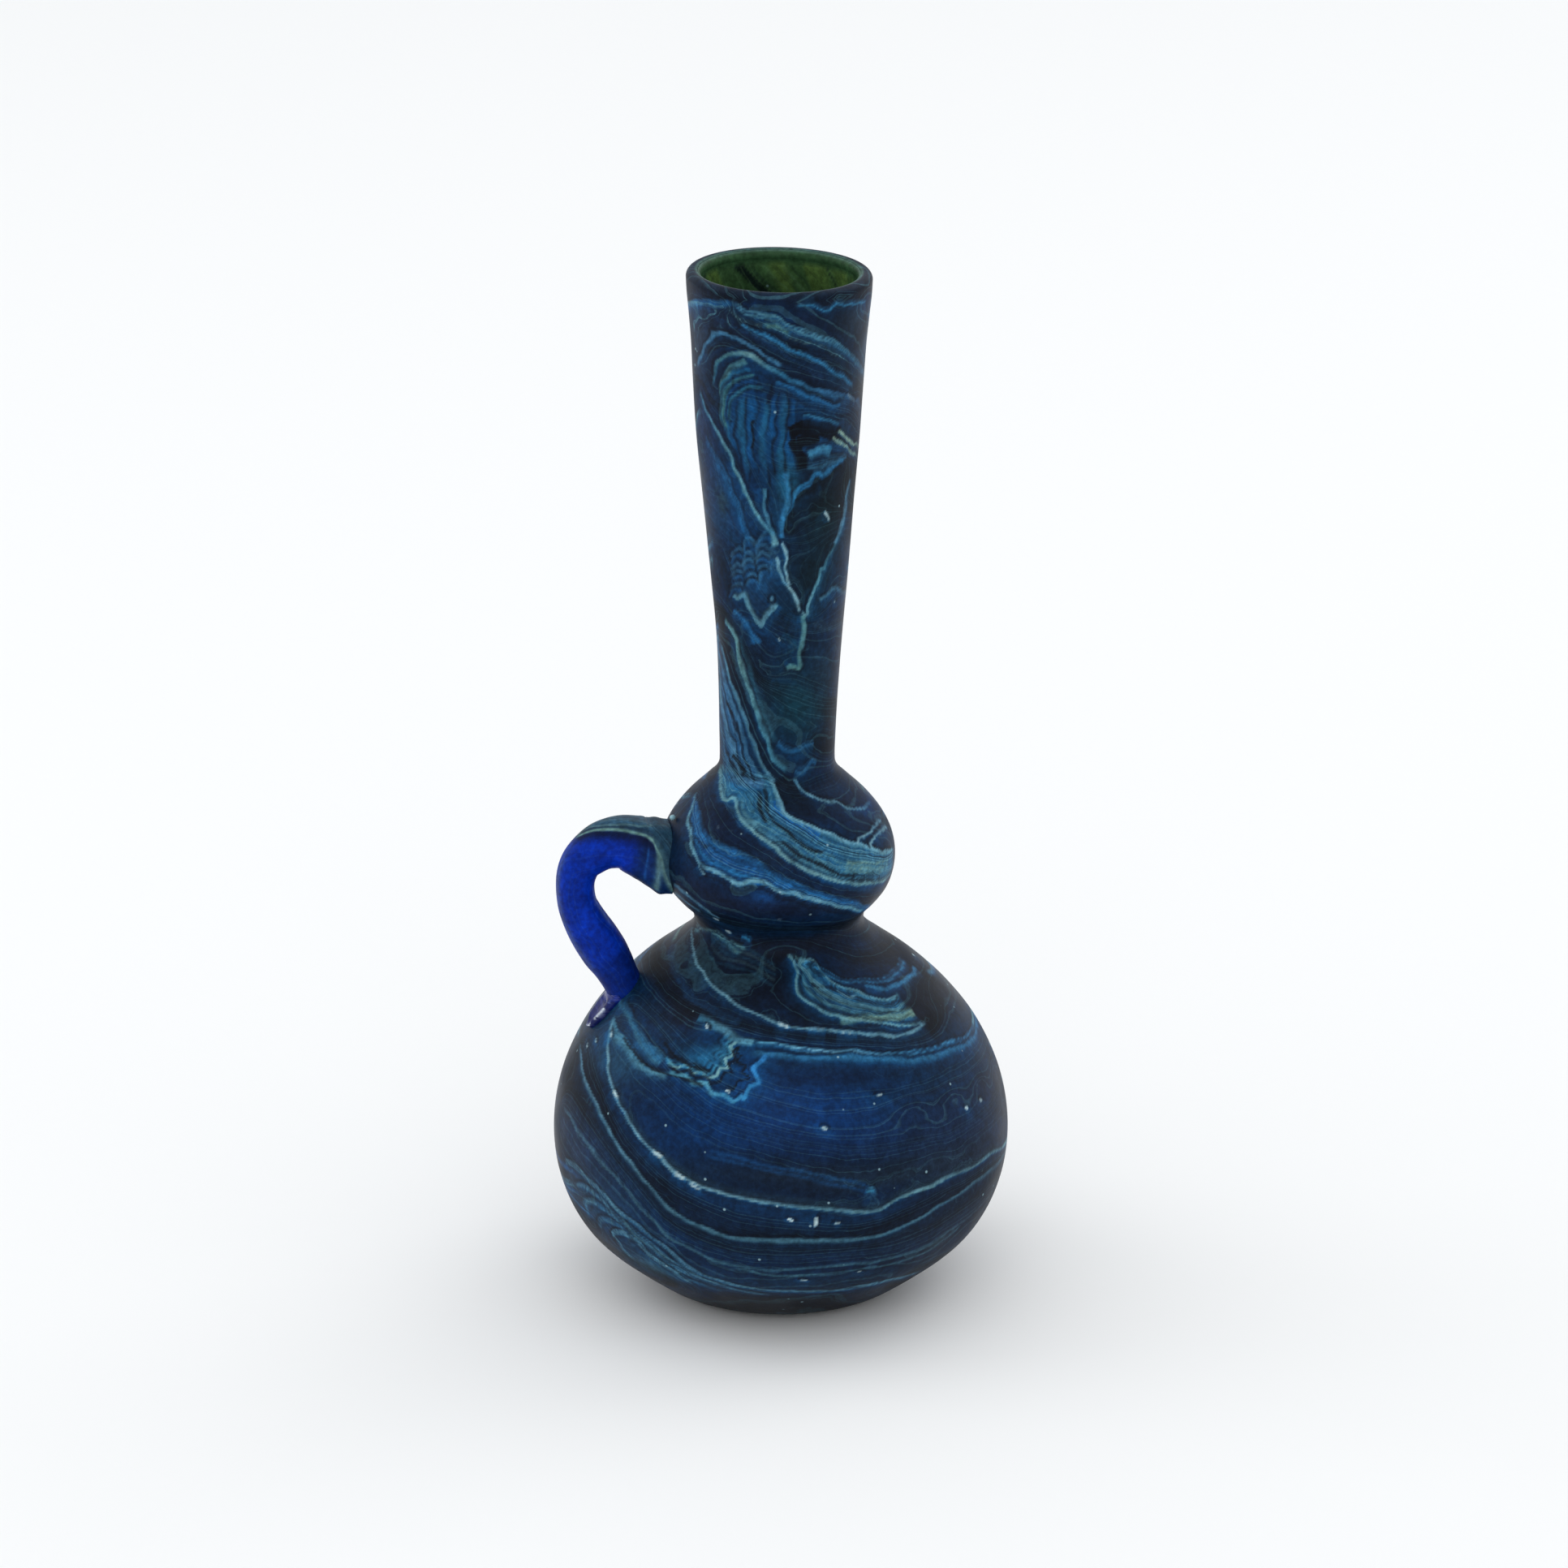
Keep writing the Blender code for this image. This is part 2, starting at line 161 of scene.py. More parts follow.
def line_noise(seed, x, octaves=3):
    """1-D value noise, 0..1."""
    r = np.random.RandomState(seed)
    g = r.rand(4096)
    x = np.asarray(x, float)
    out = 0.0
    amp, tot = 1.0, 0.0
    for o in range(octaves):
        f = x * 2 ** o + 17.3 * o
        i = np.floor(f).astype(int)
        u = f - i
        u = u * u * (3 - 2 * u)
        out = out + amp * (g[i % 4096] * (1 - u) + g[(i + 1) % 4096] * u)
        tot += amp
        amp *= 0.5
    return out / tot


def to_linear(c):
    c = np.clip(c, 0, 1)
    return np.where(c <= 0.04045, c / 12.92, ((c + 0.055) / 1.055) ** 2.4)


def rgb(*v):
    return np.array(v, float) / 255.0


# ------------------------------------------- the outside, as two fine sheets
class Sheet:
    """Rows along the profile by columns round it, with a colour at every point."""

    def __init__(self, s0, s1, step, ncol):
        n = int(round((s1 - s0) / step))
        self.s = np.linspace(s0, s1, n + 1)
        self.z = np.interp(self.s, ARC, FINE[:, 1])
        self.r = np.interp(self.s, ARC, FINE[:, 0])
        self.n = ncol
        self.th = TAU * np.arange(ncol) / ncol
        self.rgb = np.zeros((n + 1, ncol, 3))
        self.lam = np.full((n + 1, ncol), 0.14)
        self.flow = np.zeros((n + 1, ncol))
        w = np.random.RandomState(ncol)
        a, b = self.s / 320.0, self.th / TAU
        coarse, mid, tiny = (46, 18), (110, 44), (260, 120)
        self.dx = 2.6 * (periodic_noise(w, 2, coarse, a, b) - 0.5) + 0.9 * (periodic_noise(w, 2, mid, a, b) - 0.5) + 0.3 * (periodic_noise(w, 2, tiny, a, b) - 0.5)
        self.dy = 1.9 * (periodic_noise(w, 2, coarse, a, b) - 0.5) + 0.9 * (periodic_noise(w, 2, mid, a, b) - 0.5) + 0.3 * (periodic_noise(w, 2, tiny, a, b) - 0.5)
        self.grain = periodic_noise(w, 3, (300, 200), a, b)


S_WAIST = float(s_of_z(88.6))
BODY = Sheet(0.0, S_WAIST, 0.42, 768)
TOP = Sheet(S_WAIST, ARC[-1], 0.42, 384)
SHEETS = (BODY, TOP)


def spread(sh, p, reach):
    """Distance, side and place along the line p (theta rad, s) for the part of a sheet within reach of it."""
    rmin = 12.9
    i0 = np.searchsorted(sh.s, p[:, 1].min() - reach)
    i1 = np.searchsorted(sh.s, p[:, 1].max() + reach)
    if i1 <= i0:
        return None
    rr = max(rmin, sh.r[i0:i1].min())
    pad = reach / rr
    k0 = int(math.floor((p[:, 0].min() - pad) / TAU * sh.n))
    k1 = min(int(math.ceil((p[:, 0].max() + pad) / TAU * sh.n)), k0 + sh.n - 1)
    ks = np.arange(k0, k1 + 1)
    th, s, r = ks * TAU / sh.n, sh.s[i0:i1], sh.r[i0:i1]
    wx, wy = sh.dx[i0:i1][:, ks % sh.n], sh.dy[i0:i1][:, ks % sh.n]
    D = np.full((i1 - i0, len(ks)), 1e9)
    T = np.zeros_like(D)
    G = np.zeros_like(D)
    m = len(p) - 1
    for q in range(m):
        (ta, sa), (tb, sb) = p[q], p[q + 1]
        a0, a1 = np.searchsorted(s, (min(sa, sb) - reach, max(sa, sb) + reach))
        if a1 <= a0:
            continue
        pq = reach / max(rmin, r[a0:a1].min())
        c0, c1 = np.searchsorted(th, (min(ta, tb) - pq, max(ta, tb) + pq))
        if c1 <= c0:
            continue
        R = r[a0:a1, None]
        ax, ay = R * (th[None, c0:c1] - ta) + wx[a0:a1, c0:c1], (s[a0:a1] - sa)[:, None] + wy[a0:a1, c0:c1]
        bx, by = R * (tb - ta), sb - sa
        t = np.clip((ax * bx + ay * by) / (bx * bx + by * by + 1e-9), 0, 1)
        ex, ey = ax - t * bx, ay - t * by
        d = np.hypot(ex, ey)
        w = D[a0:a1, c0:c1]
        near = d < w
        w[near] = d[near]
        T[a0:a1, c0:c1][near] = ((q + t) / m)[near]
        G[a0:a1, c0:c1][near] = (bx * ay - by * ax)[near]
    return i0, i1, ks % sh.n, D, np.sign(G), T


def route(pts, steps=5):
    p = curve([(a, z) for a, z in pts], steps) if len(pts) > 2 else np.array(pts, float)
    return np.c_[np.radians(p[:, 0]), s_of_z(p[:, 1])]


seed_of = [100]


def line(pts, w, col, a=1.0, up=0.5, dn=0.5, lump=0.25, fade=0.04, lam=None, breaks=0.3, striate=0.7, sharp=False, haze=None, edge=None):
    """A streak w mm wide along pts (degrees, mm), soft over `up` mm on its upper side and `dn` mm on its lower side."""
    seed_of[0] += 7
    sd = seed_of[0]
    k = 0.82 if pts[0][1] > 150 else 1.0
    w, up, dn, a = w * 0.78 * k, up * 0.85, dn * 0.85, a * 0.93 * (0.84 if pts[0][1] > 150 and float(np.mean(col)) > 0.2 else 1.0)
    p = route(pts) if not sharp else np.c_[np.radians([q[0] for q in pts]), s_of_z([q[1] for q in pts])]
    bright = float(np.mean(col)) > 0.36
    haze = (0.42 if bright and w < 1.4 else 0.0) if haze is None else haze
    edge = (0.5 if bright and w < 1.4 else 0.0) if edge is None else edge
    length = np.hypot(np.diff(p[:, 0]) * 30, np.diff(p[:, 1])).sum()
    col = np.array(col, float)
    reach = w * (0.5 + lump) + max(up, dn) + 1.0 + (3.0 if haze else 0.0)
    for sh in SHEETS:
        got = spread(sh, p, reach)
        if got is None:
            continue
        i0, i1, cols, D, G, T = got
        n = line_noise(sd, T * length / 3.0)
        half = w * 0.5 * (1 + lump * 2 * (n - 0.5))
        soft = np.where(G > 0, up, dn)
        al = 1 - np.clip((D - half) / soft, 0, 1)
        al = al * al * (3 - 2 * al)
        if striate and w > 0.55:
            st = line_noise(sd + 5, (D * G) * 2.6 + 60 + 2.0 * line_noise(sd + 9, T * length / 7.0), 3)
            al = al * (1 - striate * (1 - smooth(st, 0.3, 0.62)))
        al = al * (0.84 + 0.32 * sh.grain[np.ix_(np.arange(i0, i1), cols)])
        al = al * a * (1 - breaks * 2 * np.abs(line_noise(sd + 3, T * length / 4.0) - 0.5))
        al = al * smooth(T, 0, fade) * smooth(1 - T, 0, fade) if fade > 0 else al
        ix = np.ix_(np.arange(i0, i1), cols)
        old = sh.rgb[ix]
        gone = (smooth(T, 0, 0.06) * smooth(1 - T, 0, 0.06)) if fade > 0 else 1.0
        if haze:
            out = np.maximum(D - half, 0)
            wide = 0.8 + 1.6 * line_noise(sd + 11, T * length / 9.0)
            h = np.where(G < 0, np.exp(-out / wide), 0.35 * np.exp(-out / 0.7)) * haze * gone * np.clip((reach - D) / 1.5, 0, 1)
            h = h * (0.5 + line_noise(sd + 13, D * 1.7 + 30 + T * length / 11.0, 2))
            old = old + (rgb(14, 84, 136) - old) * np.clip(h, 0, 1)[..., None]
        if edge:
            e = np.exp(-((D - half - 0.62) / 0.3) ** 2) * (G > 0) * edge * gone * (0.4 + 1.2 * line_noise(sd + 15, T * length / 5.0))
            old = old + (rgb(4, 9, 20) - old) * np.clip(e, 0, 1)[..., None]
        if col.ndim == 2:
            f = np.clip(T, 0, 1) * (len(col) - 1)
            k = np.minimum(f.astype(int), len(col) - 2)
            u = (f - k)[..., None]
            c = col[k] * (1 - u) + col[k + 1] * u
        else:
            c = col
        sh.rgb[ix] = old + (c - old) * al[..., None]
        if lam is not None:
            sh.lam[ix] += (lam - sh.lam[ix]) * al


def lines(many, w, col, **kw):
    for pts in many:
        line(pts, w, col, **kw)


def blob(th, z, dth, dz, col, a=1.0, tilt=0.0, rough=0.5):
    """A soft cloud of colour, half-widths in degrees and mm."""
    seed_of[0] += 7
    for sh in SHEETS:
        s = s_of_z(z)
        i0, i1 = np.searchsorted(sh.s, (s - dz * 2.2 - 2, s + dz * 2.2 + 2))
        if i1 <= i0:
            continue
        d = (np.degrees(sh.th) - th + 180) % 360 - 180
        js = np.where(np.abs(d) < dth * 2.2 + abs(tilt) * dz)[0]
        if not len(js):
            continue
        y = (sh.s[i0:i1] - s)[:, None]
        x = d[js][None, :]
        q = (x / dth) ** 2 + ((y - tilt * x) / dz) ** 2
        r = np.random.RandomState(seed_of[0])
        n = periodic_noise(r, 3, (40, 24), (sh.s[i0:i1] / 320.0), sh.th[js] / TAU)
        al = np.exp(-q * (1 + rough * 3 * (n - 0.5))) * a
        ix = np.ix_(np.arange(i0, i1), js)
        sh.rgb[ix] += (np.array(col) - sh.rgb[ix]) * np.clip(al, 0, 1)[..., None]


def band(lower, upper, col, a=1.0, soft=1.0, lam=None, cols=None, n_between=9):
    """Fills the strip between two lines with laminated colour: many fine streaks from one edge to the other."""
    A, B = curve(lower, 6), curve(upper, 6)
    ta, tb = np.linspace(0, 1, 40), np.linspace(0, 1, 40)
    A = np.stack([np.interp(ta, np.linspace(0, 1, len(A)), A[:, k]) for k in (0, 1)], 1)
    B = np.stack([np.interp(tb, np.linspace(0, 1, len(B)), B[:, k]) for k in (0, 1)], 1)
    gap = np.hypot((A[:, 0] - B[:, 0]) * 0.45, A[:, 1] - B[:, 1]).mean()
    for k in range(n_between):
        f = (k + 0.5) / n_between
        c = np.array(cols[k % len(cols)] if cols is not None else col, float)
        line((A * (1 - f) + B * f)[::3], gap / n_between * 0.9, c, a=a, up=soft, dn=soft, lump=0.3, fade=0.05, lam=lam)


# ------------------------------------ how the glass was turned: flow of bands
B7 = [(-170, 68.6), (-166.7, 65.8), (-160, 62.4), (-153.9, 59.4), (-148.9, 56.3), (-142.8, 53), (-137.2, 49.7), (-131.7, 46.9), (-125, 44.1), (-116, 41.9), (-107, 40.2), (-98.3, 39.1), (-90.6, 38.3), (-82.8, 37.2), (-76.7, 36.2), (-72.2, 36.3), (-67.2, 37.6), (-62.8, 38), (-50, 38.8), (-40.6, 38.8), (-29.4, 38), (-21.7, 36.3), (-15, 35.2), (5, 33), (30, 31.5), (50, 34)]
B8 = [(-185, 59.1), (-173.9, 58.3), (-166, 56), (-157, 53.6), (-150.6, 50.2), (-143.9, 46.3), (-138.3, 43.6), (-133.9, 40.8), (-129.4, 36.9), (-125, 34.4), (-118.3, 31.9), (-109.4, 30.2), (-100.6, 29.9), (-89.4, 30.1), (-78.3, 29.7), (-69.4, 29.4), (-65.6, 29.7), (-59.4, 30.8), (-55, 32.2), (-47.2, 33.3), (-39.4, 34.2), (-29.4, 34.1), (-15, 33), (10, 29), (40, 24)]
B9 = [(-175, 46.6), (-168, 46), (-159.4, 44.4), (-151.7, 42.4), (-145, 39.9), (-140.6, 37.4), (-136, 34.1), (-130.6, 30.2), (-127, 27.4), (-120.6, 25.2), (-113.9, 23), (-102.8, 21.9), (-90.6, 22.6), (-80.6, 22.6), (-70.6, 21.9), (-60.6, 21.6), (-53.9, 22.2), (-47, 24.1), (-39.4, 25.2), (-29.4, 26.6), (-5, 25), (20, 21)]
B5 = [(-113.9, 72.4), (-107, 71.6), (-99.4, 71.3), (-90.6, 70.5), (-80.6, 69.9), (-72.8, 69.1), (-66, 68.3), (-59.4, 67.2), (-51.7, 66.3), (-40.6, 65.5), (-31.7, 64.9), (-23.9, 63.8), (-15, 63.3), (5, 62.4), (30, 60.5), (60, 61.5), (85, 63.6), (110, 62), (140, 60), (175, 59.1)]
B1 = [(-185, 86.1), (-170, 85.5), (-160, 84.4), (-150, 83), (-140, 81.1), (-130, 79.7), (-120, 78.1), (-110, 76.7), (-102.8, 75.8), (-96, 74.9), (-85, 73.8), (-73.9, 73), (-69.4, 72.6), (-62.8, 71.6), (-53.9, 70.3), (-45, 70.1), (-38.3, 70.3)]
B2L = [(-92.8, 86.3), (-90.6, 84.7), (-89.4, 81.3), (-86.1, 78.8), (-80.6, 76.9), (-72.8, 75.2), (-65, 73.8), (-59.4, 73), (-51.7, 71.9), (-39.4, 70.2)]
B2U = [(-87.2, 84.7), (-78.3, 84.7), (-73.9, 82.4), (-69.4, 80.8), (-61.7, 78.6), (-56.1, 77.2), (-48.3, 76.1), (-40.6, 76.3)]
K1L = [(-185, 124.7), (-170, 124.2), (-160, 123), (-150.6, 121.5), (-142.8, 120.8), (-136, 121.7), (-129.4, 120.3), (-119.4, 118), (-109.4, 115.7), (-102.8, 114), (-96, 111.7), (-90.6, 110), (-82.8, 108), (-73.9, 106.2), (-67.2, 105), (-59.4, 103.7), (-49.4, 102.7), (-35, 101.2), (-15, 99.7)]
K1U = [(-108.3, 126), (-100.6, 123.3), (-90.6, 120.3), (-79.4, 118), (-69.4, 115.7), (-59.4, 113.3), (-49.4, 111.7), (-38.3, 109.3), (-27.2, 107.8), (-15, 106)]
K5U = [(-166, 118), (-151.7, 116.3), (-140.6, 114.3), (-129.4, 112.7), (-118.3, 111.7), (-107.2, 109.7), (-96, 107), (-85, 104.3), (-73.9, 102), (-59.4, 99.3), (-42.8, 96), (-20, 92.5)]
K5L = [(-178.3, 119.7), (-169.4, 118), (-162.8, 115.3), (-156, 113.7), (-150.6, 111.7), (-145, 110), (-138.3, 108), (-130.6, 107.3), (-122.8, 106), (-116, 104.8), (-109.4, 105.5), (-102.8, 105.3), (-96, 103.3), (-90.6, 103), (-82.8, 101.7), (-73.9, 100), (-67.2, 98.3), (-53.9, 96.3), (-39.4, 93.7)]
N1L = [(-169.4, 156.1), (-161, 152), (-151.7, 147.9), (-143.9, 144.3), (-137.2, 140.6), (-130.6, 137), (-122.8, 133.8), (-116, 130.6), (-108.3, 127.5), (-102.8, 125.2)]
N1R = [(-150, 156.5), (-140.6, 153.8), (-135, 149.7), (-128.3, 145.6), (-122.8, 142), (-116, 138.4), (-109.4, 135.2), (-102.8, 131.5), (-96, 128.4), (-87.2, 125.6)]
N2 = [(-155, 162), (-147.2, 160.2), (-140.6, 157.5), (-137.2, 153.8), (-131.7, 149.3), (-125, 144.3), (-118.3, 140.2), (-111.7, 136.5), (-103.9, 132.5), (-96, 129.7), (-85, 127.5)]
N3 = [(-155, 178.4), (-150.6, 173.4), (-146, 168.8), (-141.7, 163.8), (-137.2, 160.2), (-129.4, 157.9), (-122.8, 155.6), (-116, 152.9), (-107.2, 151), (-96, 151.5)]
DIAG = [(-166, 215.5), (-157.2, 211.8), (-148.3, 208.6), (-140.6, 205.9), (-135, 202.3), (-129.4, 198.6), (-123.9, 195.5), (-118.3, 191.8), (-112.8, 188.6), (-107.2, 185.9), (-102.8, 183.2), (-100.6, 180.5), (-98, 178), (-96, 175.6), (-90.6, 172.5), (-85, 169.7), (-78.3, 166)]
U2 = [(-125, 238), (-118.3, 236.6), (-109.4, 235.5), (-100.6, 234.1), (-90.6, 232.5), (-79.4, 230.9), (-68.3, 229.3), (-57.2, 227.3), (-49.4, 225.5), (-40.6, 223.2), (-29.4, 220), (-5, 214), (20, 209), (50, 206)]
U4 = [(-120.6, 233.2), (-112.8, 231.6), (-105, 230.2), (-96, 228.4), (-87.2, 227), (-78.3, 225.9), (-60, 222), (-35, 216)]
A1 = [(-166, 219), (-159.4, 222.7), (-152.8, 226.4), (-146, 228.9), (-137.2, 229.8), (-129.4, 229), (-118.3, 227.3), (-107.2, 225.2), (-96, 223)]
A3 = [(-145, 215.9), (-144.4, 220), (-140.6, 223.2), (-132.8, 225), (-122.8, 225.5), (-113.9, 224.8), (-107.2, 223), (-96, 221.4), (-85, 219.5), (-73.9, 218), (-62.8, 216.8), (-51.7, 215.5), (-25, 211), (0, 203), (25, 196)]
JAG = [(-92.8, 184.1), (-90.6, 186.4), (-86, 189.1), (-83.9, 191.8), (-79.4, 193.6), (-73.9, 194.1), (-68.3, 196.4), (-62.8, 195.7), (-57.2, 196.6), (-51.7, 198), (-45, 198.9)]
ISL_T = [(-92.2, 208.2), (-87.2, 210), (-80.6, 211.4), (-68.3, 210.9), (-61.7, 208.6), (-51.7, 207.7), (-40.6, 204.1), (-29.4, 202.3), (-15, 200)]
BACKS = [  # the far side, which continues the same falling turns
    (82, [(-15, 79.1), (10, 77.5), (40, 78.5), (75, 81), (110, 84), (145, 85.6), (175, 86.1)]),
    (74, [(-15, 72), (15, 70), (50, 71.5), (80, 75.5), (110, 76), (140, 73.5), (175, 71.9), (190, 68.6)]),
    (54, [(-60, 55), (-15, 53), (20, 51), (55, 50.5), (80, 53), (110, 52.5), (150, 49), (180, 47.2)]),
    (46, [(-15, 45), (15, 42), (45, 41.5), (75, 44.5), (105, 43), (140, 38.5), (170, 36)]),
    (36, [(50, 34), (80, 36.5), (110, 34), (140, 30), (165, 29.5), (200, 33.5)]),
    (24, [(20, 21), (50, 19.5), (85, 23.5), (120, 22), (150, 18.5), (180, 22), (201, 23.6)]),
    (14, [(-49, 12), (-10, 12.5), (35, 11), (80, 13.5), (125, 12), (170, 13), (215, 13.5)]),
    (103, [(-15, 99.7), (15, 97.5), (45, 97), (75, 100.5), (110, 104.5), (140, 106), (175, 109)]),
    (112, [(-15, 106), (20, 103.5), (50, 105.5), (85, 110.5), (120, 113.5), (150, 116), (182, 119.7)]),
    (118, [(-15, 116), (15, 114.5), (50, 116), (90, 119.5), (130, 122.5), (175, 124.7)]),
    (93, [(-30, 91), (10, 90), (60, 93), (110, 95), (150, 94), (175, 93)]),
    (134, [(-57, 133.8), (-35, 131), (-10, 131.5), (20, 136), (60, 141), (110, 147), (150, 152), (190.6, 156.1)]),
    (152, [(-85, 152.9), (-50, 149), (-15, 146), (20, 150), (60, 157), (100, 163), (150, 171), (195, 178)]),
    (175, [(-48.3, 179.7), (-25, 175), (0, 171), (35, 175), (75, 183), (120, 192), (165, 203), (194, 215.5)]),
    (200, [(-15, 200), (15, 191), (50, 190), (90, 198), (130, 208), (165, 215), (194, 219)]),
    (222, [(50, 206), (85, 211), (125, 220), (165, 228), (205, 233), (235, 238)]),
    (234, [(-29.4, 234.5), (10, 230), (50, 227), (90, 231), (130, 236), (160, 238)])]
FLOW = [(45, B7), (36, B8), (26, B9), (70, B5), (79, B1), (77, B2L), (80, B2U), (113, K1L), (121, K1U), (108, K5U), (104, K5L),
        (126, N1L), (130, N1R), (132, N2), (150, N3), (180, DIAG), (233, U2), (229, U4), (225, A1), (221, A3), (188, JAG), (209, ISL_T)] + BACKS


def set_flow():
    P, V = [], []
    for v, pts in FLOW:
        p = route(pts, 3)
        P.append(p)
        V.append(np.full(len(p), float(v)))
    P, V = np.concatenate(P), np.concatenate(V)
    for sh in SHEETS:
        ri = np.unique(np.r_[np.arange(0, len(sh.s), 4), len(sh.s) - 1])
        cj = np.arange(0, sh.n, 4)
        num = np.zeros((len(ri), len(cj)))
        den = np.zeros_like(num)
        for (tp, sp), v in zip(P, V):
            dth = (sh.th[cj][None, :] - tp + math.pi) % TAU - math.pi
            d2 = (sh.r[ri][:, None] * dth * 0.6) ** 2 + ((sh.s[ri] - sp)[:, None]) ** 2 + 0.6
            w = 1.0 / d2 ** 1.6
            num += w * v
            den += w
        F = num / den
        F = np.concatenate([F, F[:, :1]], 1)
        ii = np.interp(np.arange(len(sh.s)), ri, np.arange(len(ri)))
        jj = np.arange(sh.n) / 4.0
        i, j = np.minimum(ii.astype(int), len(ri) - 2), jj.astype(int)
        u, v = (ii - i)[:, None], (jj - j)[None, :]
        sh.flow = (F[i][:, j] * (1 - v) + F[i][:, j + 1] * v) * (1 - u) + (F[i + 1][:, j] * (1 - v) + F[i + 1][:, j + 1] * v) * u


set_flow()

# ---------------------------------------------- ground colour, from the flow
NAVY, BLUE, DEEP, TEAL = rgb(11, 27, 50), rgb(6, 38, 76), rgb(5, 13, 27), rgb(8, 50, 84)
for sh in SHEETS:
    big = periodic_noise(rng, 4, (14, 8), sh.s / 320.0, sh.th / TAU)
    fine = periodic_noise(rng, 3, (70, 48), sh.s / 320.0, sh.th / TAU)
    f = sh.flow + 3.0 * (big - 0.5) + 0.8 * (fine - 0.5)
    n1 = line_noise(5, f / 7.0, 2)[..., None]
    n2 = line_noise(9, f / 1.7, 3)[..., None]
    base = NAVY + (BLUE - NAVY) * np.clip(big * 2 - 0.5, 0, 1)[..., None]
    base = base + (DEEP - base) * smooth(n1, 0.42, 0.66) * 0.85
    base = base + (TEAL - base) * smooth(1 - n1, 0.6, 0.85) * 0.6
    sh.rgb[:] = base * (0.66 + 0.3 * n2) * (0.8 + 0.4 * sh.grain[..., None])


# ------------------------------------------------- streaks, top of the body down
PALE, CYAN, TEALP, COB, DARK, BLACK = rgb(120, 160, 172), rgb(58, 128, 170), rgb(52, 104, 128), rgb(20, 78, 138), rgb(9, 20, 36), rgb(6, 10, 18)
GREENP, GREYG, WHITE, MIDB, HAZE = rgb(128, 160, 138), rgb(66, 92, 98), rgb(185, 205, 205), rgb(24, 66, 116), rgb(34, 70, 108)

# clouds on the body
blob(-85, 58, 26, 9, rgb(5, 50, 108), 0.75, tilt=-0.15)
blob(-118, 56, 20, 9, rgb(5, 52, 108), 0.6)
blob(-155, 62, 12, 5, rgb(60, 112, 140), 0.45)
blob(-160, 40, 24, 9, rgb(34, 58, 92), 0.45)
blob(-45, 50, 24, 10, rgb(26, 44, 74), 0.55)
blob(-75, 43.5, 36, 2.6, rgb(34, 44, 50), 0.55, tilt=-0.04)
blob(-100, 35, 34, 3.5, rgb(12, 44, 80), 0.5)
blob(-80, 25.5, 46, 3.4, rgb(13, 36, 64), 0.5)
blob(-96, 17.5, 34, 3.2, rgb(14, 48, 76), 0.5)
blob(-134, 17.5, 11, 4.5, rgb(64, 100, 116), 0.65)
blob(-150, 30, 16, 6, rgb(42, 74, 98), 0.5)
blob(-60, 16, 30, 3, rgb(9, 30, 50), 0.5)
blob(60, 55, 60, 14, rgb(14, 50, 92), 0.5)
blob(130, 40, 40, 12, rgb(24, 44, 78), 0.45)
blob(20, 35, 30, 8, rgb(12, 40, 72), 0.5)
blob(100, 72, 40, 6, rgb(20, 62, 100), 0.5)
blob(40, 76, 30, 5, rgb(40, 84, 110), 0.4)

# painted shade: a dark band across the front and right of the waist crease
blob(-70, 88, 60, 3.0, rgb(9, 16, 32), 0.75)
blob(-100, 80, 14, 3.5, rgb(8, 18, 36), 0.7)
blob(-140, 74, 22, 3.2, rgb(8, 16, 32), 0.75)
blob(-30, 73, 12, 3.0, rgb(10, 18, 34), 0.6)
blob(-80, 65.5, 26, 2.2, rgb(7, 26, 54), 0.6)
blob(-100, 43.5, 30, 2.0, rgb(6, 22, 44), 0.6)
blob(-50, 30, 22, 6, rgb(9, 24, 44), 0.6)
band(B2L, B2U, TEALP, a=0.72, soft=0.7, lam=0.9, cols=[rgb(70, 112, 122), rgb(24, 52, 74), rgb(88, 126, 124), rgb(30, 60, 80), rgb(110, 142, 130), rgb(46, 78, 92)])
line([(-75, 74.9), (-65, 74.2), (-55, 73.4), (-46, 73), (-40, 72.6)], 1.3, rgb(138, 168, 140), a=0.8, up=1.2, dn=0.6)
line([(-65, 73), (-58, 72.4), (-52, 71.4)], 0.5, BLACK, a=0.8, up=0.3, dn=0.3)
line([(-82, 80.8), (-75, 80.4), (-69, 79.5)], 0.7, DARK, a=0.85, up=0.4, dn=0.4)
line([(-69.4, 79.7), (-67, 78.3), (-62, 78)], 0.35, PALE, a=0.8, up=0.3, dn=0.3)
lines([B2U, B2L], 0.4, rgb(104, 148, 156), a=0.8, up=0.35, dn=0.35)
line(B1, 0.42, rgb(108, 152, 166), a=0.85, up=0.5, dn=0.4)
line([(-100, 75.5), (-94, 74.7)], 0.9, WHITE, a=0.9, up=0.5, dn=0.5, fade=0.2)
line([(-87, 74), (-80, 73.4)], 0.8, WHITE, a=0.75, up=0.6, dn=0.5, fade=0.2)
line([(-76, 73.2), (-68, 72.4)], 0.8, WHITE, a=0.75, up=0.6, dn=0.5, fade=0.2)
line([(-103, 77.4), (-88, 75.4), (-70, 73.8), (-58, 72.2)], 1.1, DARK, a=0.55, up=0.7, dn=0.7)
line([(-87, 84.7), (-74, 83), (-62.8, 80.8), (-51.7, 79.4), (-46, 78.8), (-35, 78.8), (-15, 79.1)], 1.5, CYAN, a=0.75, up=0.9, dn=0.6, lam=0.8)
line([(-57, 79), (-46, 77.7), (-29, 77.2), (-15, 77.2)], 0.5, CYAN, a=0.75)
for q, zz in enumerate((83.6, 84.5, 85.3, 86.2, 87)):
    line([(-150, zz + 1.5), (-141, zz + 0.6), (-128, zz), (-110, zz - 1.2), (-100, zz - 2.4)], 0.45, rgb(48, 70, 76) if q % 2 else rgb(26, 60, 78), a=0.55, haze=0)
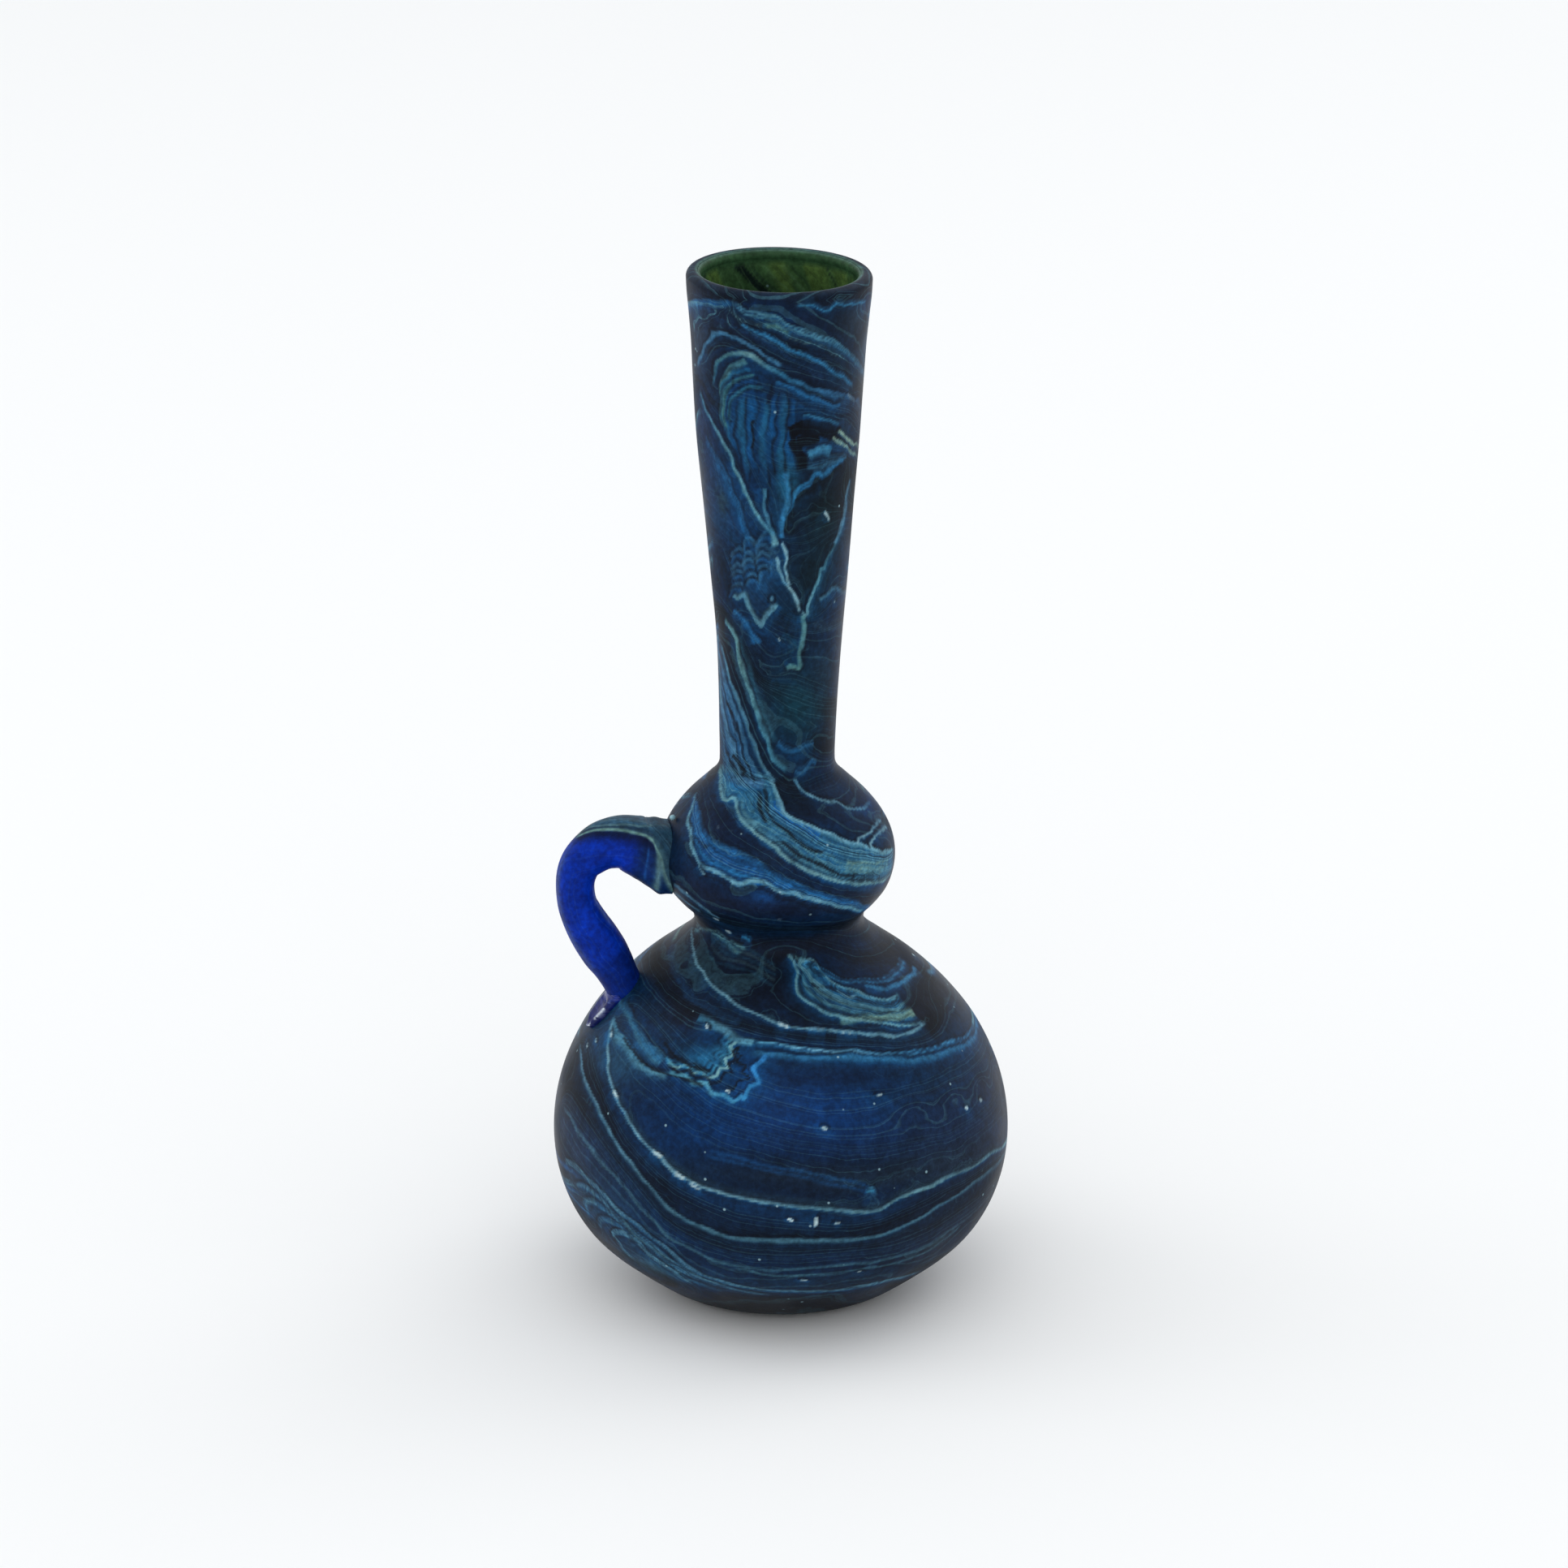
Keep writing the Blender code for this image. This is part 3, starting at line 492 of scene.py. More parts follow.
line([(-185, 82.4), (-160, 80.4), (-140, 77.6), (-126, 76), (-112, 74.6)], 1.2, rgb(20, 60, 96), a=0.6, up=1.5, dn=1.5)
line([(-185, 78.4), (-165, 76.5), (-146, 74.5), (-130, 73.2)], 1.4, rgb(13, 30, 52), a=0.7, up=1.2, dn=1.2)

line(B5, 0.85, [rgb(70, 150, 190), rgb(120, 180, 205), rgb(60, 130, 170), rgb(50, 110, 150), rgb(46, 100, 140), rgb(40, 90, 128)], a=0.95, up=0.6, dn=0.4, lump=0.3)
line([(-109, 70), (-90.6, 69.4), (-74, 68.6), (-59.4, 66.6), (-50.6, 65), (-37, 64.1), (-20.5, 62.7), (10, 61)], 0.35, rgb(50, 112, 150), a=0.75, up=0.3, dn=1.6)
line([(-105, 68.4), (-88, 67.4), (-70, 66), (-54, 63.6), (-38, 62)], 1.4, rgb(10, 26, 50), a=0.6, up=0.8, dn=1.5)
# forked streak right of the handle's foot
blob(-122, 67.6, 7, 2.6, rgb(34, 108, 150), 0.75, rough=0.7)
blob(-117, 69.8, 4, 1.8, rgb(50, 128, 164), 0.7, rough=0.7)
blob(-150, 66.6, 14, 1.8, rgb(30, 84, 128), 0.7)
blob(-107, 65.0, 4, 3.0, rgb(16, 84, 150), 0.6)
line([(-131.7, 74.4), (-127, 74.2), (-119, 73.2), (-113.9, 72.2), (-107, 71.6)], 0.7, [rgb(50, 110, 140), rgb(90, 146, 166), rgb(100, 160, 180)], a=0.8, up=1.6, dn=1.0)
for k, (dx, dz) in enumerate(((0, 0), (-1.6, 0.4), (-3.2, 0.8), (1.3, -0.8))):
    line([(-136 + dx, 66.9 + dz), (-131.7 + dx, 65.6 + dz), (-128.5 + dx, 66.3 + dz), (-126 + dx, 64.9 + dz), (-122.8 + dx, 65.4 + dz), (-121 + dx, 64.2 + dz), (-118.3 + dx, 64.9 + dz), (-117.5 + dx, 66.4 + dz),
          (-114.6 + dx, 66.8 + dz), (-116.2 + dx, 68.6 + dz), (-113.4 + dx, 69.4 + dz), (-115.6 + dx, 71.0 + dz), (-112.8 + dx, 72.2 + dz)],
         (0.5, 0.35, 0.3, 0.5)[k], (rgb(130, 176, 176), rgb(60, 134, 164), rgb(36, 104, 146), rgb(8, 14, 28))[k], a=(0.9, 0.7, 0.6, 0.9)[k], up=0.3, dn=0.4, sharp=True, haze=0.3 if k == 0 else 0)
line([(-170, 71.9), (-162.8, 70.8), (-151.7, 68.6), (-140.6, 66.9), (-136, 66.2)], 0.9, [rgb(64, 120, 146), rgb(90, 146, 160), rgb(90, 150, 166)], a=0.9, up=0.4, dn=1.8)
line([(-134, 65.0), (-131, 64.3), (-128, 64.5), (-125, 63.0), (-121, 63.3), (-118.3, 61.9), (-114.5, 62.0), (-111.7, 60.6), (-109.5, 61.8), (-108.3, 61.4), (-107.5, 63.6), (-105, 64.6), (-106.6, 67), (-104.4, 68.4), (-103, 69.8)],
     0.65, [rgb(70, 130, 150), rgb(90, 156, 176), rgb(50, 130, 180), rgb(40, 110, 170)], a=0.92, up=0.4, dn=0.6, sharp=True)
line([(-170, 68.6), (-162.8, 66.6), (-156, 66.3), (-148, 64.9), (-140.6, 64.1), (-132.8, 64.1)], 0.8, rgb(84, 136, 154), a=0.85, up=0.3, dn=2.8)
line([(-112.4, 71.2), (-113.2, 69.8), (-110.9, 69.2), (-112.6, 67.9), (-108.9, 67.4), (-110.6, 66.2), (-108.3, 65.4), (-111.7, 64.4), (-112.5, 63.2), (-115.4, 62.8)], 0.8, BLACK, a=0.95, up=0.3, dn=0.3, sharp=True)
lines([[(-140.6, 69.1), (-135, 67.7), (-130, 66.8), (-126, 65.9), (-120, 65.7)], [(-158, 66.6), (-148, 65.2), (-138, 64.4), (-129, 63.8), (-121, 62.6)]], 0.5, BLACK, a=0.85, up=0.3, dn=0.3)
# the long thin turns
line(B7, 0.36, [rgb(140, 176, 184), rgb(110, 156, 172), rgb(120, 160, 170), rgb(96, 140, 152), rgb(104, 146, 152), rgb(84, 118, 126), rgb(80, 108, 116)], a=0.85, up=0.9, dn=0.3, lump=0.4)
line([(a, z + 1.1) for a, z in B7[3:-4]], 0.7, rgb(36, 52, 62), a=0.45, up=1.6, dn=0.6)
line([(a, z - 1.3) for a, z in B7[2:-3]], 1.2, rgb(10, 26, 48), a=0.6, up=0.5, dn=1.6)
for a, z in ((-164.7, 65.5), (-148.9, 56.3), (-131.2, 46.8), (-123.3, 43.6), (-119, 42)):
    line([(a - 2.2, z + 0.8), (a, z), (a + 2.0, z - 0.5)], 0.75, WHITE, a=0.9, up=0.5, dn=0.4, fade=0.3)
line(B8, 0.3, [rgb(90, 130, 150), rgb(84, 124, 140), rgb(70, 112, 128), rgb(72, 110, 124), rgb(60, 90, 104)], a=0.85, up=0.4, dn=1.2)
line([(a, z - 1.5) for a, z in B8[4:-3]], 1.3, rgb(9, 22, 40), a=0.5, up=0.8, dn=1.4)
line(B9, 0.3, [rgb(66, 104, 124), rgb(64, 104, 120), rgb(54, 92, 108), rgb(50, 76, 90)], a=0.8, up=1.0, dn=0.4)
line([(-111.7, 21.9), (-100.6, 20.5), (-89.4, 20.5), (-73.9, 20.5), (-58.3, 19.9), (-49.4, 21.6), (-41.7, 24.1)], 0.4, rgb(56, 94, 108), a=0.75)
line([(-118, 49.7), (-100, 47), (-90.6, 45.8), (-85, 44.1), (-75, 41.3)], 1.0, rgb(20, 72, 122), a=0.65, up=1.6, dn=1.6)
line([(-77, 41.6), (-75, 41.2), (-73.6, 41)], 0.9, rgb(60, 150, 190), a=0.8, up=0.5, dn=0.5, fade=0.3)
# rings low on the handle side
RINGS = [[(-169.4, 34.7), (-165, 35.8), (-158.3, 36.1), (-151.7, 34.4), (-145, 31.9), (-138.3, 29.1), (-132.8, 26.3), (-127.2, 23), (-122.8, 20.2), (-116, 17.4), (-107.2, 15.2), (-98.3, 14.4), (-85, 14.1), (-68.3, 13.6), (-57, 13), (-49, 12)],
         [(-162.8, 31.3), (-157, 33), (-150.6, 32.4), (-145, 29.7), (-138.3, 26.3), (-131.7, 23), (-125, 19.1), (-118.3, 16.3), (-110.6, 14.1), (-100.6, 12.4)],
         [(-159.4, 23.6), (-158.9, 27.4), (-155, 29.7), (-149.4, 29.9), (-143.9, 28), (-137.2, 24.7), (-130.6, 20.8), (-122, 17)],
         [(-154.4, 23), (-153.3, 25.8), (-148.3, 26.9), (-142.8, 25.8), (-136, 22.4), (-130.6, 19.1), (-122.8, 15.2), (-114, 12.4)],
         [(-143.9, 16.9), (-146.7, 20.8), (-148.3, 23.6), (-145, 24.7), (-139.4, 23.6), (-135, 20.8), (-129.4, 18), (-124, 14)]]
for k, p in enumerate(RINGS):
    line(p, 1.1 if k else 1.3, rgb(84, 128, 146) if k % 2 == 0 else rgb(70, 112, 134), a=0.8, up=0.6, dn=0.6, lam=0.8)
    line([(a + 0.5, z - 1.25) for a, z in p[1:-1]], 0.6, rgb(16, 30, 50), a=0.6, up=0.4, dn=0.4)
for k, (a, z, s) in enumerate([(-86.7, 55.5, 1), (-69.4, 60.8, 1), (-38.9, 51.9, .8), (-31.7, 51.3, .8), (-95.6, 35.2, 1), (-83.9, 34.3, .8), (-113.9, 62.7, .8), (-126, 73.3, .8), (-91.7, 18.8, .7), (-76, 19.7, .7), (-164.7, 65.5, .9), (-170.2, 62.9, .8), (-174.4, 60.7, .8), (-97.8, 159, .9), (-40, 165.2, 1), (-61.7, 119.7, .9), (-137.8, 116.4, .9), (-126.7, 115.8, .9), (-98, 96.7, .8), (-68.7, 208.6, .7), (-64.2, 207.1, .7), (-84.4, 205.1, .7)]):
    line([(a - 0.4, z + 0.1), (a + 0.5, z - 0.1)], 0.42 * s, WHITE, a=0.9, up=0.3, dn=0.3, fade=0)
line([(-89.2, 35.6), (-89.3, 33.8)], 0.5, WHITE, a=0.9, up=0.3, dn=0.3, fade=0)

# --------------------------------------------------------------------- knop
blob(-98, 101, 60, 6, rgb(8, 15, 34), 0.85)
blob(-140, 115, 40, 5, rgb(8, 18, 40), 0.75)
blob(-55, 119, 34, 4, rgb(9, 20, 40), 0.8)
blob(-98, 103, 22, 3, rgb(8, 24, 58), 0.5)
blob(-105, 103, 8, 2.4, rgb(18, 76, 140), 0.55)
blob(-100, 94, 30, 4, rgb(8, 26, 48), 0.6)
band(K1L, [(-170, 126), (-140, 126), (-125, 126)] + K1U, TEALP, a=0.8, soft=0.8, lam=1.0, n_between=13,
     cols=[rgb(84, 130, 140), rgb(40, 86, 110), rgb(104, 146, 146), rgb(30, 72, 102), rgb(92, 138, 140), rgb(36, 96, 138), rgb(112, 150, 140), rgb(50, 92, 112)])
line([(-100, 122.4), (-90.6, 119.2), (-79.4, 116.8), (-70, 114.8)], 1.6, rgb(18, 84, 158), a=0.85, up=0.6, dn=1.4)
line([(-62, 108.6), (-50, 106.6), (-38, 105.4), (-28, 104.4)], 2.0, rgb(142, 170, 142), a=0.8, up=1.3, dn=1.3, lam=0.9)
lines([[(-126, 126), (-118.3, 123.3), (-109.4, 120.3), (-102.8, 117.8)], [(-113.9, 124), (-105, 120.7), (-96, 118), (-90.6, 116.3), (-85, 114.3), (-78.3, 112.7), (-71.7, 111.3)],
       [(-96, 114.7), (-89.4, 112.3), (-81.7, 110.7), (-73.9, 108.7), (-65, 106.7), (-57, 105.3)]], 0.6, BLACK, a=0.85, up=0.4, dn=0.5)
line(K1L, 0.45, rgb(120, 162, 164), a=0.85, up=0.8, dn=0.35)
line(K1U, 0.45, rgb(112, 160, 176), a=0.85, up=0.35, dn=0.8)
line([(-160, 120), (-140.6, 119), (-125, 116.4), (-107.2, 112.7), (-95, 109), (-85, 106.3), (-73.9, 103.3), (-51.7, 99.3), (-30, 97)], 2.2, rgb(9, 22, 44), a=0.9, up=0.8, dn=0.8, lam=0.3)
line([(-50, 111.7), (-48.3, 112.7), (-42.8, 113.2), (-36.1, 113.3), (-29.4, 113.2), (-18, 112.6)], 0.5, PALE, a=0.9, up=0.35, dn=0.35)
line([(-47, 111.3), (-45, 112), (-40.6, 112.4), (-33, 112.5), (-24, 112.2)], 0.8, DARK, a=0.9, up=0.3, dn=0.3)
line([(-41.7, 110.3), (-42.8, 111.3), (-39.4, 111.8), (-29.4, 111.7), (-15, 111.3)], 0.4, PALE, a=0.85, up=0.3, dn=0.3)
line([(-81.7, 126), (-77.2, 124), (-69.4, 122.3), (-59.4, 121), (-50, 119.7), (-40.6, 118.2), (-29.4, 117), (-15, 116)], 0.5, rgb(104, 148, 164), a=0.85, up=0.4, dn=0.4)
band(K5L, K5U, COB, a=0.85, soft=0.8, lam=0.5, n_between=7, cols=[rgb(26, 92, 150), rgb(22, 74, 132), rgb(40, 116, 168), rgb(20, 66, 124)])
line(K5L, 0.5, rgb(110, 158, 172), a=0.9, up=0.8, dn=0.3)
line([(a, z - 1.3) for a, z in K5L[3:]], 1.5, rgb(7, 16, 34), a=0.8, up=0.4, dn=1.4)
line([(-140, 107.8), (-138, 106.8), (-136, 106)], 0.4, PALE, a=0.8, up=0.3, dn=0.3)
line([(-151, 113.2), (-144, 112.7), (-137, 112)], 0.9, DARK, a=0.8, up=0.4, dn=0.4)
lines([[(-162.8, 100.3), (-151.7, 99.7), (-143, 97.7), (-134, 95)], [(-185, 93), (-176, 95.5), (-170, 97), (-158, 97.4), (-146, 95.6)]], 0.7, rgb(84, 124, 142), a=0.7, up=0.6, dn=0.6)
line([(-175, 87.5), (-162.8, 88.3), (-146, 89), (-135, 87.7), (-122, 86)], 1.3, rgb(84, 122, 122), a=0.75, up=0.8, dn=0.8, lam=0.9)
line([(-123, 89.6), (-120.6, 89.3), (-117, 88.8)], 1.4, rgb(46, 120, 160), a=0.7, up=0.7, dn=0.7, fade=0.3)
for a, z in ((-137.2, 94.7), (-132.8, 90.3)):
    line([(a - 0.8, z), (a + 0.8, z - 0.2)], 0.6, WHITE, a=0.85, up=0.35, dn=0.35, fade=0)

# --------------------------------------------------------------- lower neck
blob(-75, 142, 36, 11, rgb(8, 42, 58), 0.85)
blob(-80, 143, 22, 6, rgb(16, 62, 76), 0.5)
blob(-55, 150, 18, 9, rgb(30, 48, 62), 0.4)
blob(-150, 140, 22, 9, rgb(46, 88, 124), 0.55)
blob(-68, 174, 22, 9, rgb(8, 28, 38), 0.9)
blob(-118, 174, 22, 7, rgb(26, 74, 116), 0.6)
for p in ([(-97, 134.7), (-90.6, 133.8), (-79.4, 132), (-68.3, 133.4), (-57, 133.8)], [(-80.6, 127.9), (-69.4, 127.5), (-59.4, 128.8), (-52, 127.9)]):
    line(p, 0.9, rgb(44, 96, 136), a=0.7, up=1.0, dn=1.0)
N7a = [(-185, 157), (-176, 153), (-165, 148.6), (-158.3, 145.6), (-150.6, 142), (-143.9, 138), (-137.2, 134), (-129.4, 130), (-122.8, 127.4), (-112, 124)]
for k, dz in enumerate((0, -2.4, -5, -7.6, -10.4, -13.4, -16.6, -20)):
    line([(a, max(z + dz, 124.2)) for a, z in N7a], 1.5, (rgb(84, 130, 158), rgb(46, 84, 118), rgb(70, 116, 150), rgb(36, 70, 100))[k % 4], a=0.75, up=0.8, dn=0.8, lam=0.9)
lines([[(-158.3, 142.9), (-150.6, 139.3), (-143.9, 135.6), (-137.2, 131.5), (-129.4, 127.5), (-122.8, 124.3)], [(-157.2, 130.6), (-148.3, 127.9), (-138.3, 125.2)],
       [(-131.7, 135.2), (-125, 132), (-116, 128.8)]], 0.5, DARK, a=0.85, up=0.35, dn=0.35)
line([(-148.3, 129.7), (-140.6, 127.9), (-132.8, 125.6)], 0.6, BLACK, a=0.9, up=0.35, dn=0.35)
N1M = [((a + c) / 2, (b + d) / 2) for (a, b), (c, d) in zip(N1L, N1R)]
line([(-178, 164), (-166, 158.5)] + N1M + [(-84, 122), (-70, 119.5)], 6.2, rgb(6, 17, 31), a=1.0, up=0.6, dn=0.5, lump=0.1, lam=0.2, striate=0.25, breaks=0.05)
line(N1L, 0.5, rgb(96, 146, 164), a=0.85, up=0.3, dn=1.2)
line(N2, 0.8, [rgb(104, 156, 164), rgb(120, 172, 168), rgb(70, 130, 150), rgb(60, 118, 138)], a=0.95, up=1.2, dn=0.4)
line([(a + 5, z + 1.6) for a, z in N2[2:-2]], 0.5, rgb(40, 90, 110), a=0.7, up=1.4, dn=0.5)
line(N3, 2.6, rgb(10, 28, 46), a=0.9, up=0.8, dn=0.8, lump=0.15)
line([(-96, 151.5), (-84, 150.5), (-70, 148), (-50, 146), (-25, 147)], 1.6, rgb(9, 30, 46), a=0.6, up=1.5, dn=1.5)
line([(-138, 165), (-129, 162.5), (-118, 158)], 1.4, rgb(44, 118, 172), a=0.85, up=0.8, dn=0.6)
for k, dz in enumerate((0, -1.7, -3.3, -4.8, 1.9, 3.6, 5.2)):
    line([(a + dz * 0.4, z + dz) for a, z in [(-143, 172.5), (-140.6, 173.8), (-135, 175), (-129.4, 174.5), (-125, 177), (-118.3, 177.5), (-115.6, 176.1), (-112.8, 178.4), (-108.3, 179.7), (-105, 178.8), (-100.6, 180.2)]],
         0.4, rgb(76, 130, 158) if k % 2 == 0 else rgb(34, 96, 150), a=0.5, up=0.3, dn=1.0, lump=0.4, haze=0, edge=0.5)
line([(-140, 168.8), (-135, 167.9), (-130.6, 168.8), (-125, 166.5), (-119.4, 163.8), (-112.8, 162), (-107.2, 163.8), (-101.7, 165.6), (-98.9, 167.5)], 0.6, rgb(104, 156, 170), a=0.9, up=1.4, dn=0.4)
line([(-134, 171.5), (-124, 169), (-114, 167.6), (-106, 171), (-101, 174)], 0.8, rgb(16, 40, 66), a=0.7, up=0.6, dn=0.6)
line([(-104.6, 168.6), (-103.9, 169.3), (-103, 168.6), (-103.9, 168), (-104.6, 168.6)], 0.3, PALE, a=0.7, up=0.25, dn=0.25, fade=0)
lines([[(-99.4, 178.4), (-96, 175.6), (-90.6, 172.5), (-85, 169.7), (-78.3, 166)], [(-97, 182), (-92.8, 179.3), (-90.6, 175.6), (-87.2, 172)]], 0.42, rgb(150, 190, 196), a=0.9, up=0.4, dn=0.5)
line([(-78, 166), (-71.7, 165.4), (-69.4, 168.4), (-65, 171.5), (-61.7, 174.7), (-57.2, 175), (-53.9, 177.5), (-48.3, 179.7), (-43.9, 182), (-38, 186)], 0.9, [rgb(120, 170, 180), rgb(80, 140, 160), rgb(84, 136, 156)], a=0.9, up=0.4, dn=1.4)
line([(-75.6, 165.5), (-75, 163.8), (-73.3, 161.5), (-75, 158.8), (-75.6, 155.6), (-76.7, 152.9), (-85, 152.9), (-90.6, 152)], 0.8, rgb(104, 156, 150), a=0.85, up=0.8, dn=0.8)
line([(-95, 160), (-86, 158.5), (-80, 156.5)], 1.2, rgb(26, 80, 104), a=0.6, up=1.2, dn=1.2)
line([(-62, 163), (-50, 160), (-36, 160.5), (-20, 158)], 1.6, rgb(60, 78, 90), a=0.5, up=1.6, dn=1.6)
line([(-60, 168), (-44, 169), (-28, 167), (-12, 166)], 0.6, rgb(86, 120, 132), a=0.6, up=0.8, dn=0.8)

# --------------------------------------------------------------- upper neck
blob(-98, 206, 28, 13, rgb(9, 52, 94), 0.8)
blob(-120, 212, 14, 10, rgb(10, 66, 112), 0.65)
blob(-92, 196, 9, 6, rgb(30, 98, 122), 0.6)
blob(-160, 205, 16, 14, rgb(28, 38, 72), 0.6)
blob(-165, 232, 20, 8, rgb(24, 34, 56), 0.7)
blob(-140, 233, 14, 3, rgb(14, 28, 52), 0.7)
blob(-145, 190, 20, 9, rgb(26, 66, 106), 0.6)
blob(-144, 190, 6, 3, rgb(58, 72, 62), 0.5)
blob(-58, 187, 22, 8, rgb(8, 27, 34), 0.92)
blob(-45, 214, 14, 8, rgb(42, 62, 84), 0.5)
blob(-82, 234.5, 7, 2.6, rgb(10, 22, 44), 0.85)
blob(-114, 230, 12, 1.8, rgb(10, 22, 44), 0.8)
blob(-73, 222, 12, 3.4, rgb(10, 24, 46), 0.8)
blob(-160, 228, 16, 6, rgb(44, 74, 104), 0.5)
blob(-42, 232, 14, 4, rgb(40, 62, 80), 0.5)
for k, a0 in enumerate((-133, -129, -123, -116, -108, -103, -96, -89)):
    line([(a0, 221 - (k % 3)), (a0 + 0.8, 212), (a0 + 0.4 - (k % 2) * 1.4, 204), (a0 + 1.6, 195 + (k % 2) * 3)], 0.6, rgb(14, 86, 142) if k % 2 else rgb(34, 104, 136), a=0.6, up=1.2, dn=1.2, fade=0.3, haze=0, edge=0.6)
line([(-89.4, 237.2), (-78.3, 237.6), (-69.4, 236.5), (-63.9, 236.3), (-59.4, 237.2), (-51.7, 236.7), (-40.6, 235.8), (-29.4, 235.3)], 1.4, rgb(54, 124, 160), a=0.85, up=0.6, dn=0.4)
line([(-65.5, 238.2), (-63.9, 237), (-62.3, 238.2)], 0.6, DARK, a=0.9, up=0.3, dn=0.3, fade=0)
line(U2, 1.2, [rgb(60, 110, 136), rgb(84, 134, 146), rgb(72, 126, 146), rgb(64, 110, 130), rgb(50, 84, 104)], a=0.95, up=0.6, dn=0.6)
line([(-138.3, 238), (-129.4, 236.1), (-122.8, 235), (-113.9, 233.9), (-105, 232.7), (-96, 231.4), (-85, 229.8), (-73.9, 228.9), (-62.8, 226.8), (-48, 223.6)], 1.3, rgb(74, 98, 100), a=0.85, up=0.5, dn=0.7, lam=1.0)
line([(-107, 233.2), (-98, 232.0), (-90, 230.9)], 1.1, rgb(86, 124, 104), a=0.8, up=0.6, dn=0.6, fade=0.2)
line(U4, 0.9, rgb(50, 128, 172), a=0.9, up=0.5, dn=0.6)
line([(-165, 233), (-150, 234.5), (-138, 233), (-126, 231.5), (-112, 229.6), (-98, 226.6), (-84, 223.5), (-66, 220)], 0.9, rgb(24, 60, 96), a=0.7, up=0.7, dn=0.7)
line(A1, 0.8, rgb(66, 118, 150), a=0.9, up=0.5, dn=0.6)
line([(-150.6, 223.2), (-146, 225.5), (-138.3, 227), (-129.4, 227.5), (-118.3, 226.4), (-106, 224.3)], 0.8, DARK, a=0.85, up=0.5, dn=0.5)
line(A3, 0.8, [rgb(48, 96, 120), rgb(70, 118, 122), rgb(120, 156, 150), rgb(44, 112, 146), rgb(56, 116, 156), rgb(44, 92, 130), rgb(36, 74, 104)], a=0.95, up=0.4, dn=0.9)
line([(-136, 208.2), (-137.2, 212.7), (-136, 218.2), (-132.8, 220.9), (-127.2, 222.7), (-120.6, 224.1)], 0.8, rgb(84, 124, 116), a=0.8, up=0.7, dn=0.9)
for q in range(5):
    line([(-136 + q * 2.2, 207 + q), (-137.6 + q * 2.2, 212.5 - q * .4), (-136 + q * 2.2, 217.4 - q), (-132 + q * 2, 219.9 - q * 1.1), (-126 + q * 2, 221.4 - q * 1.2), (-118 + q * 3, 222.2 - q * 1.4)], 0.6, (rgb(24, 84, 118), rgb(60, 112, 112), rgb(12, 60, 110), rgb(46, 112, 132), rgb(10, 50, 92))[q], a=0.75, up=0.4, dn=0.5, haze=0, edge=0.4)
line([(-142, 204), (-143.5, 210), (-142.5, 216), (-139, 221)], 0.8, rgb(14, 30, 52), a=0.75, up=0.6, dn=0.6)
line([(-107.2, 214.5), (-105.6, 216.8), (-100.6, 217.7), (-92.8, 217), (-82.8, 215.9), (-68.3, 213.4), (-51.7, 210.9), (-35, 208.2)], 0.8, rgb(8, 20, 40), a=0.9, up=0.5, dn=0.5)
line([(-104, 219.4), (-92, 218.8), (-80, 217.3), (-66, 215), (-50, 212.8)], 0.6, rgb(40, 110, 160), a=0.8, up=0.4, dn=0.4)
line([(-114, 211), (-115.2, 209), (-114, 207), (-115.6, 204)], 0.45, BLACK, a=0.85, up=0.3, dn=0.3)
# the dark island with its frayed end
line([(-91, 207.8), (-84, 208.6), (-74, 208.8), (-64, 207.5), (-56, 206.2), (-49.5, 205.6)], 5.0, rgb(5, 11, 22), a=1.1, up=0.5, dn=0.5, lump=0.12, lam=0.1, striate=0, breaks=0)
line([(-88, 206.4), (-84.5, 204), (-82, 201.6), (-80.6, 199)], 2.6, rgb(5, 11, 22), a=1.1, up=0.5, dn=0.5, lump=0.1, striate=0, breaks=0)
line([(-84, 205.4), (-76, 205.8), (-68, 206.2)], 3.4, rgb(5, 11, 22), a=1.1, up=0.6, dn=0.5, striate=0, breaks=0)
line([(-80, 211.9), (-72, 211.6), (-60, 209.3), (-51, 208.3)], 0.4, rgb(60, 126, 160), a=0.8)
line([(-78, 202.4), (-70.6, 203.5), (-62, 203.6), (-54, 203)], 0.8, rgb(66, 132, 162), a=0.85, up=0.4, dn=2.2)
lines([[(-58, 205.6), (-49.4, 204.1), (-40.6, 202.3), (-29.4, 200), (-15, 197)], [(-51.7, 206.8), (-40.6, 204.1), (-29.4, 202.3), (-15, 200)]], 0.5, rgb(168, 192, 160), a=0.9, up=0.35, dn=0.5)
line([(-53, 205.6), (-45, 203.8), (-36, 202)], 0.5, BLACK, a=0.8, up=0.3, dn=0.3)
line([(-78, 199.5), (-66, 199.5), (-54, 200.4), (-42, 200.6)], 2.2, rgb(58, 118, 150), a=0.7, up=1.3, dn=1.5)
line(DIAG[:12], 0.55, [rgb(66, 116, 140), rgb(104, 156, 166), rgb(118, 170, 172), rgb(110, 164, 172)], a=0.92, up=0.5, dn=0.8)
line([(-140, 207.4), (-137, 206.4), (-127, 200), (-118, 194), (-113, 190.5), (-106, 187)], 1.1, rgb(9, 22, 42), a=0.85, up=0.6, dn=0.4)
line([(-108.3, 195.5), (-107.2, 191.8), (-105, 187.7), (-102.8, 184)], 0.5, rgb(84, 146, 170), a=0.85)
line([(a, z + 1.5) for a, z in JAG], 1.8, rgb(44, 122, 170), a=0.85, up=1.3, dn=0.4)
line(JAG, 0.8, rgb(6, 16, 26), a=0.95, up=0.35, dn=1.6)
line([(-50, 180), (-45, 182.7), (-39.4, 186.4), (-38, 190), (-35, 194)], 0.8, rgb(92, 134, 156), a=0.8, up=0.5, dn=1.2)
line([(-60, 188.5), (-58, 187), (-56.5, 185.5)], 0.5, WHITE, a=0.85, up=0.3, dn=0.3, fade=0.2)
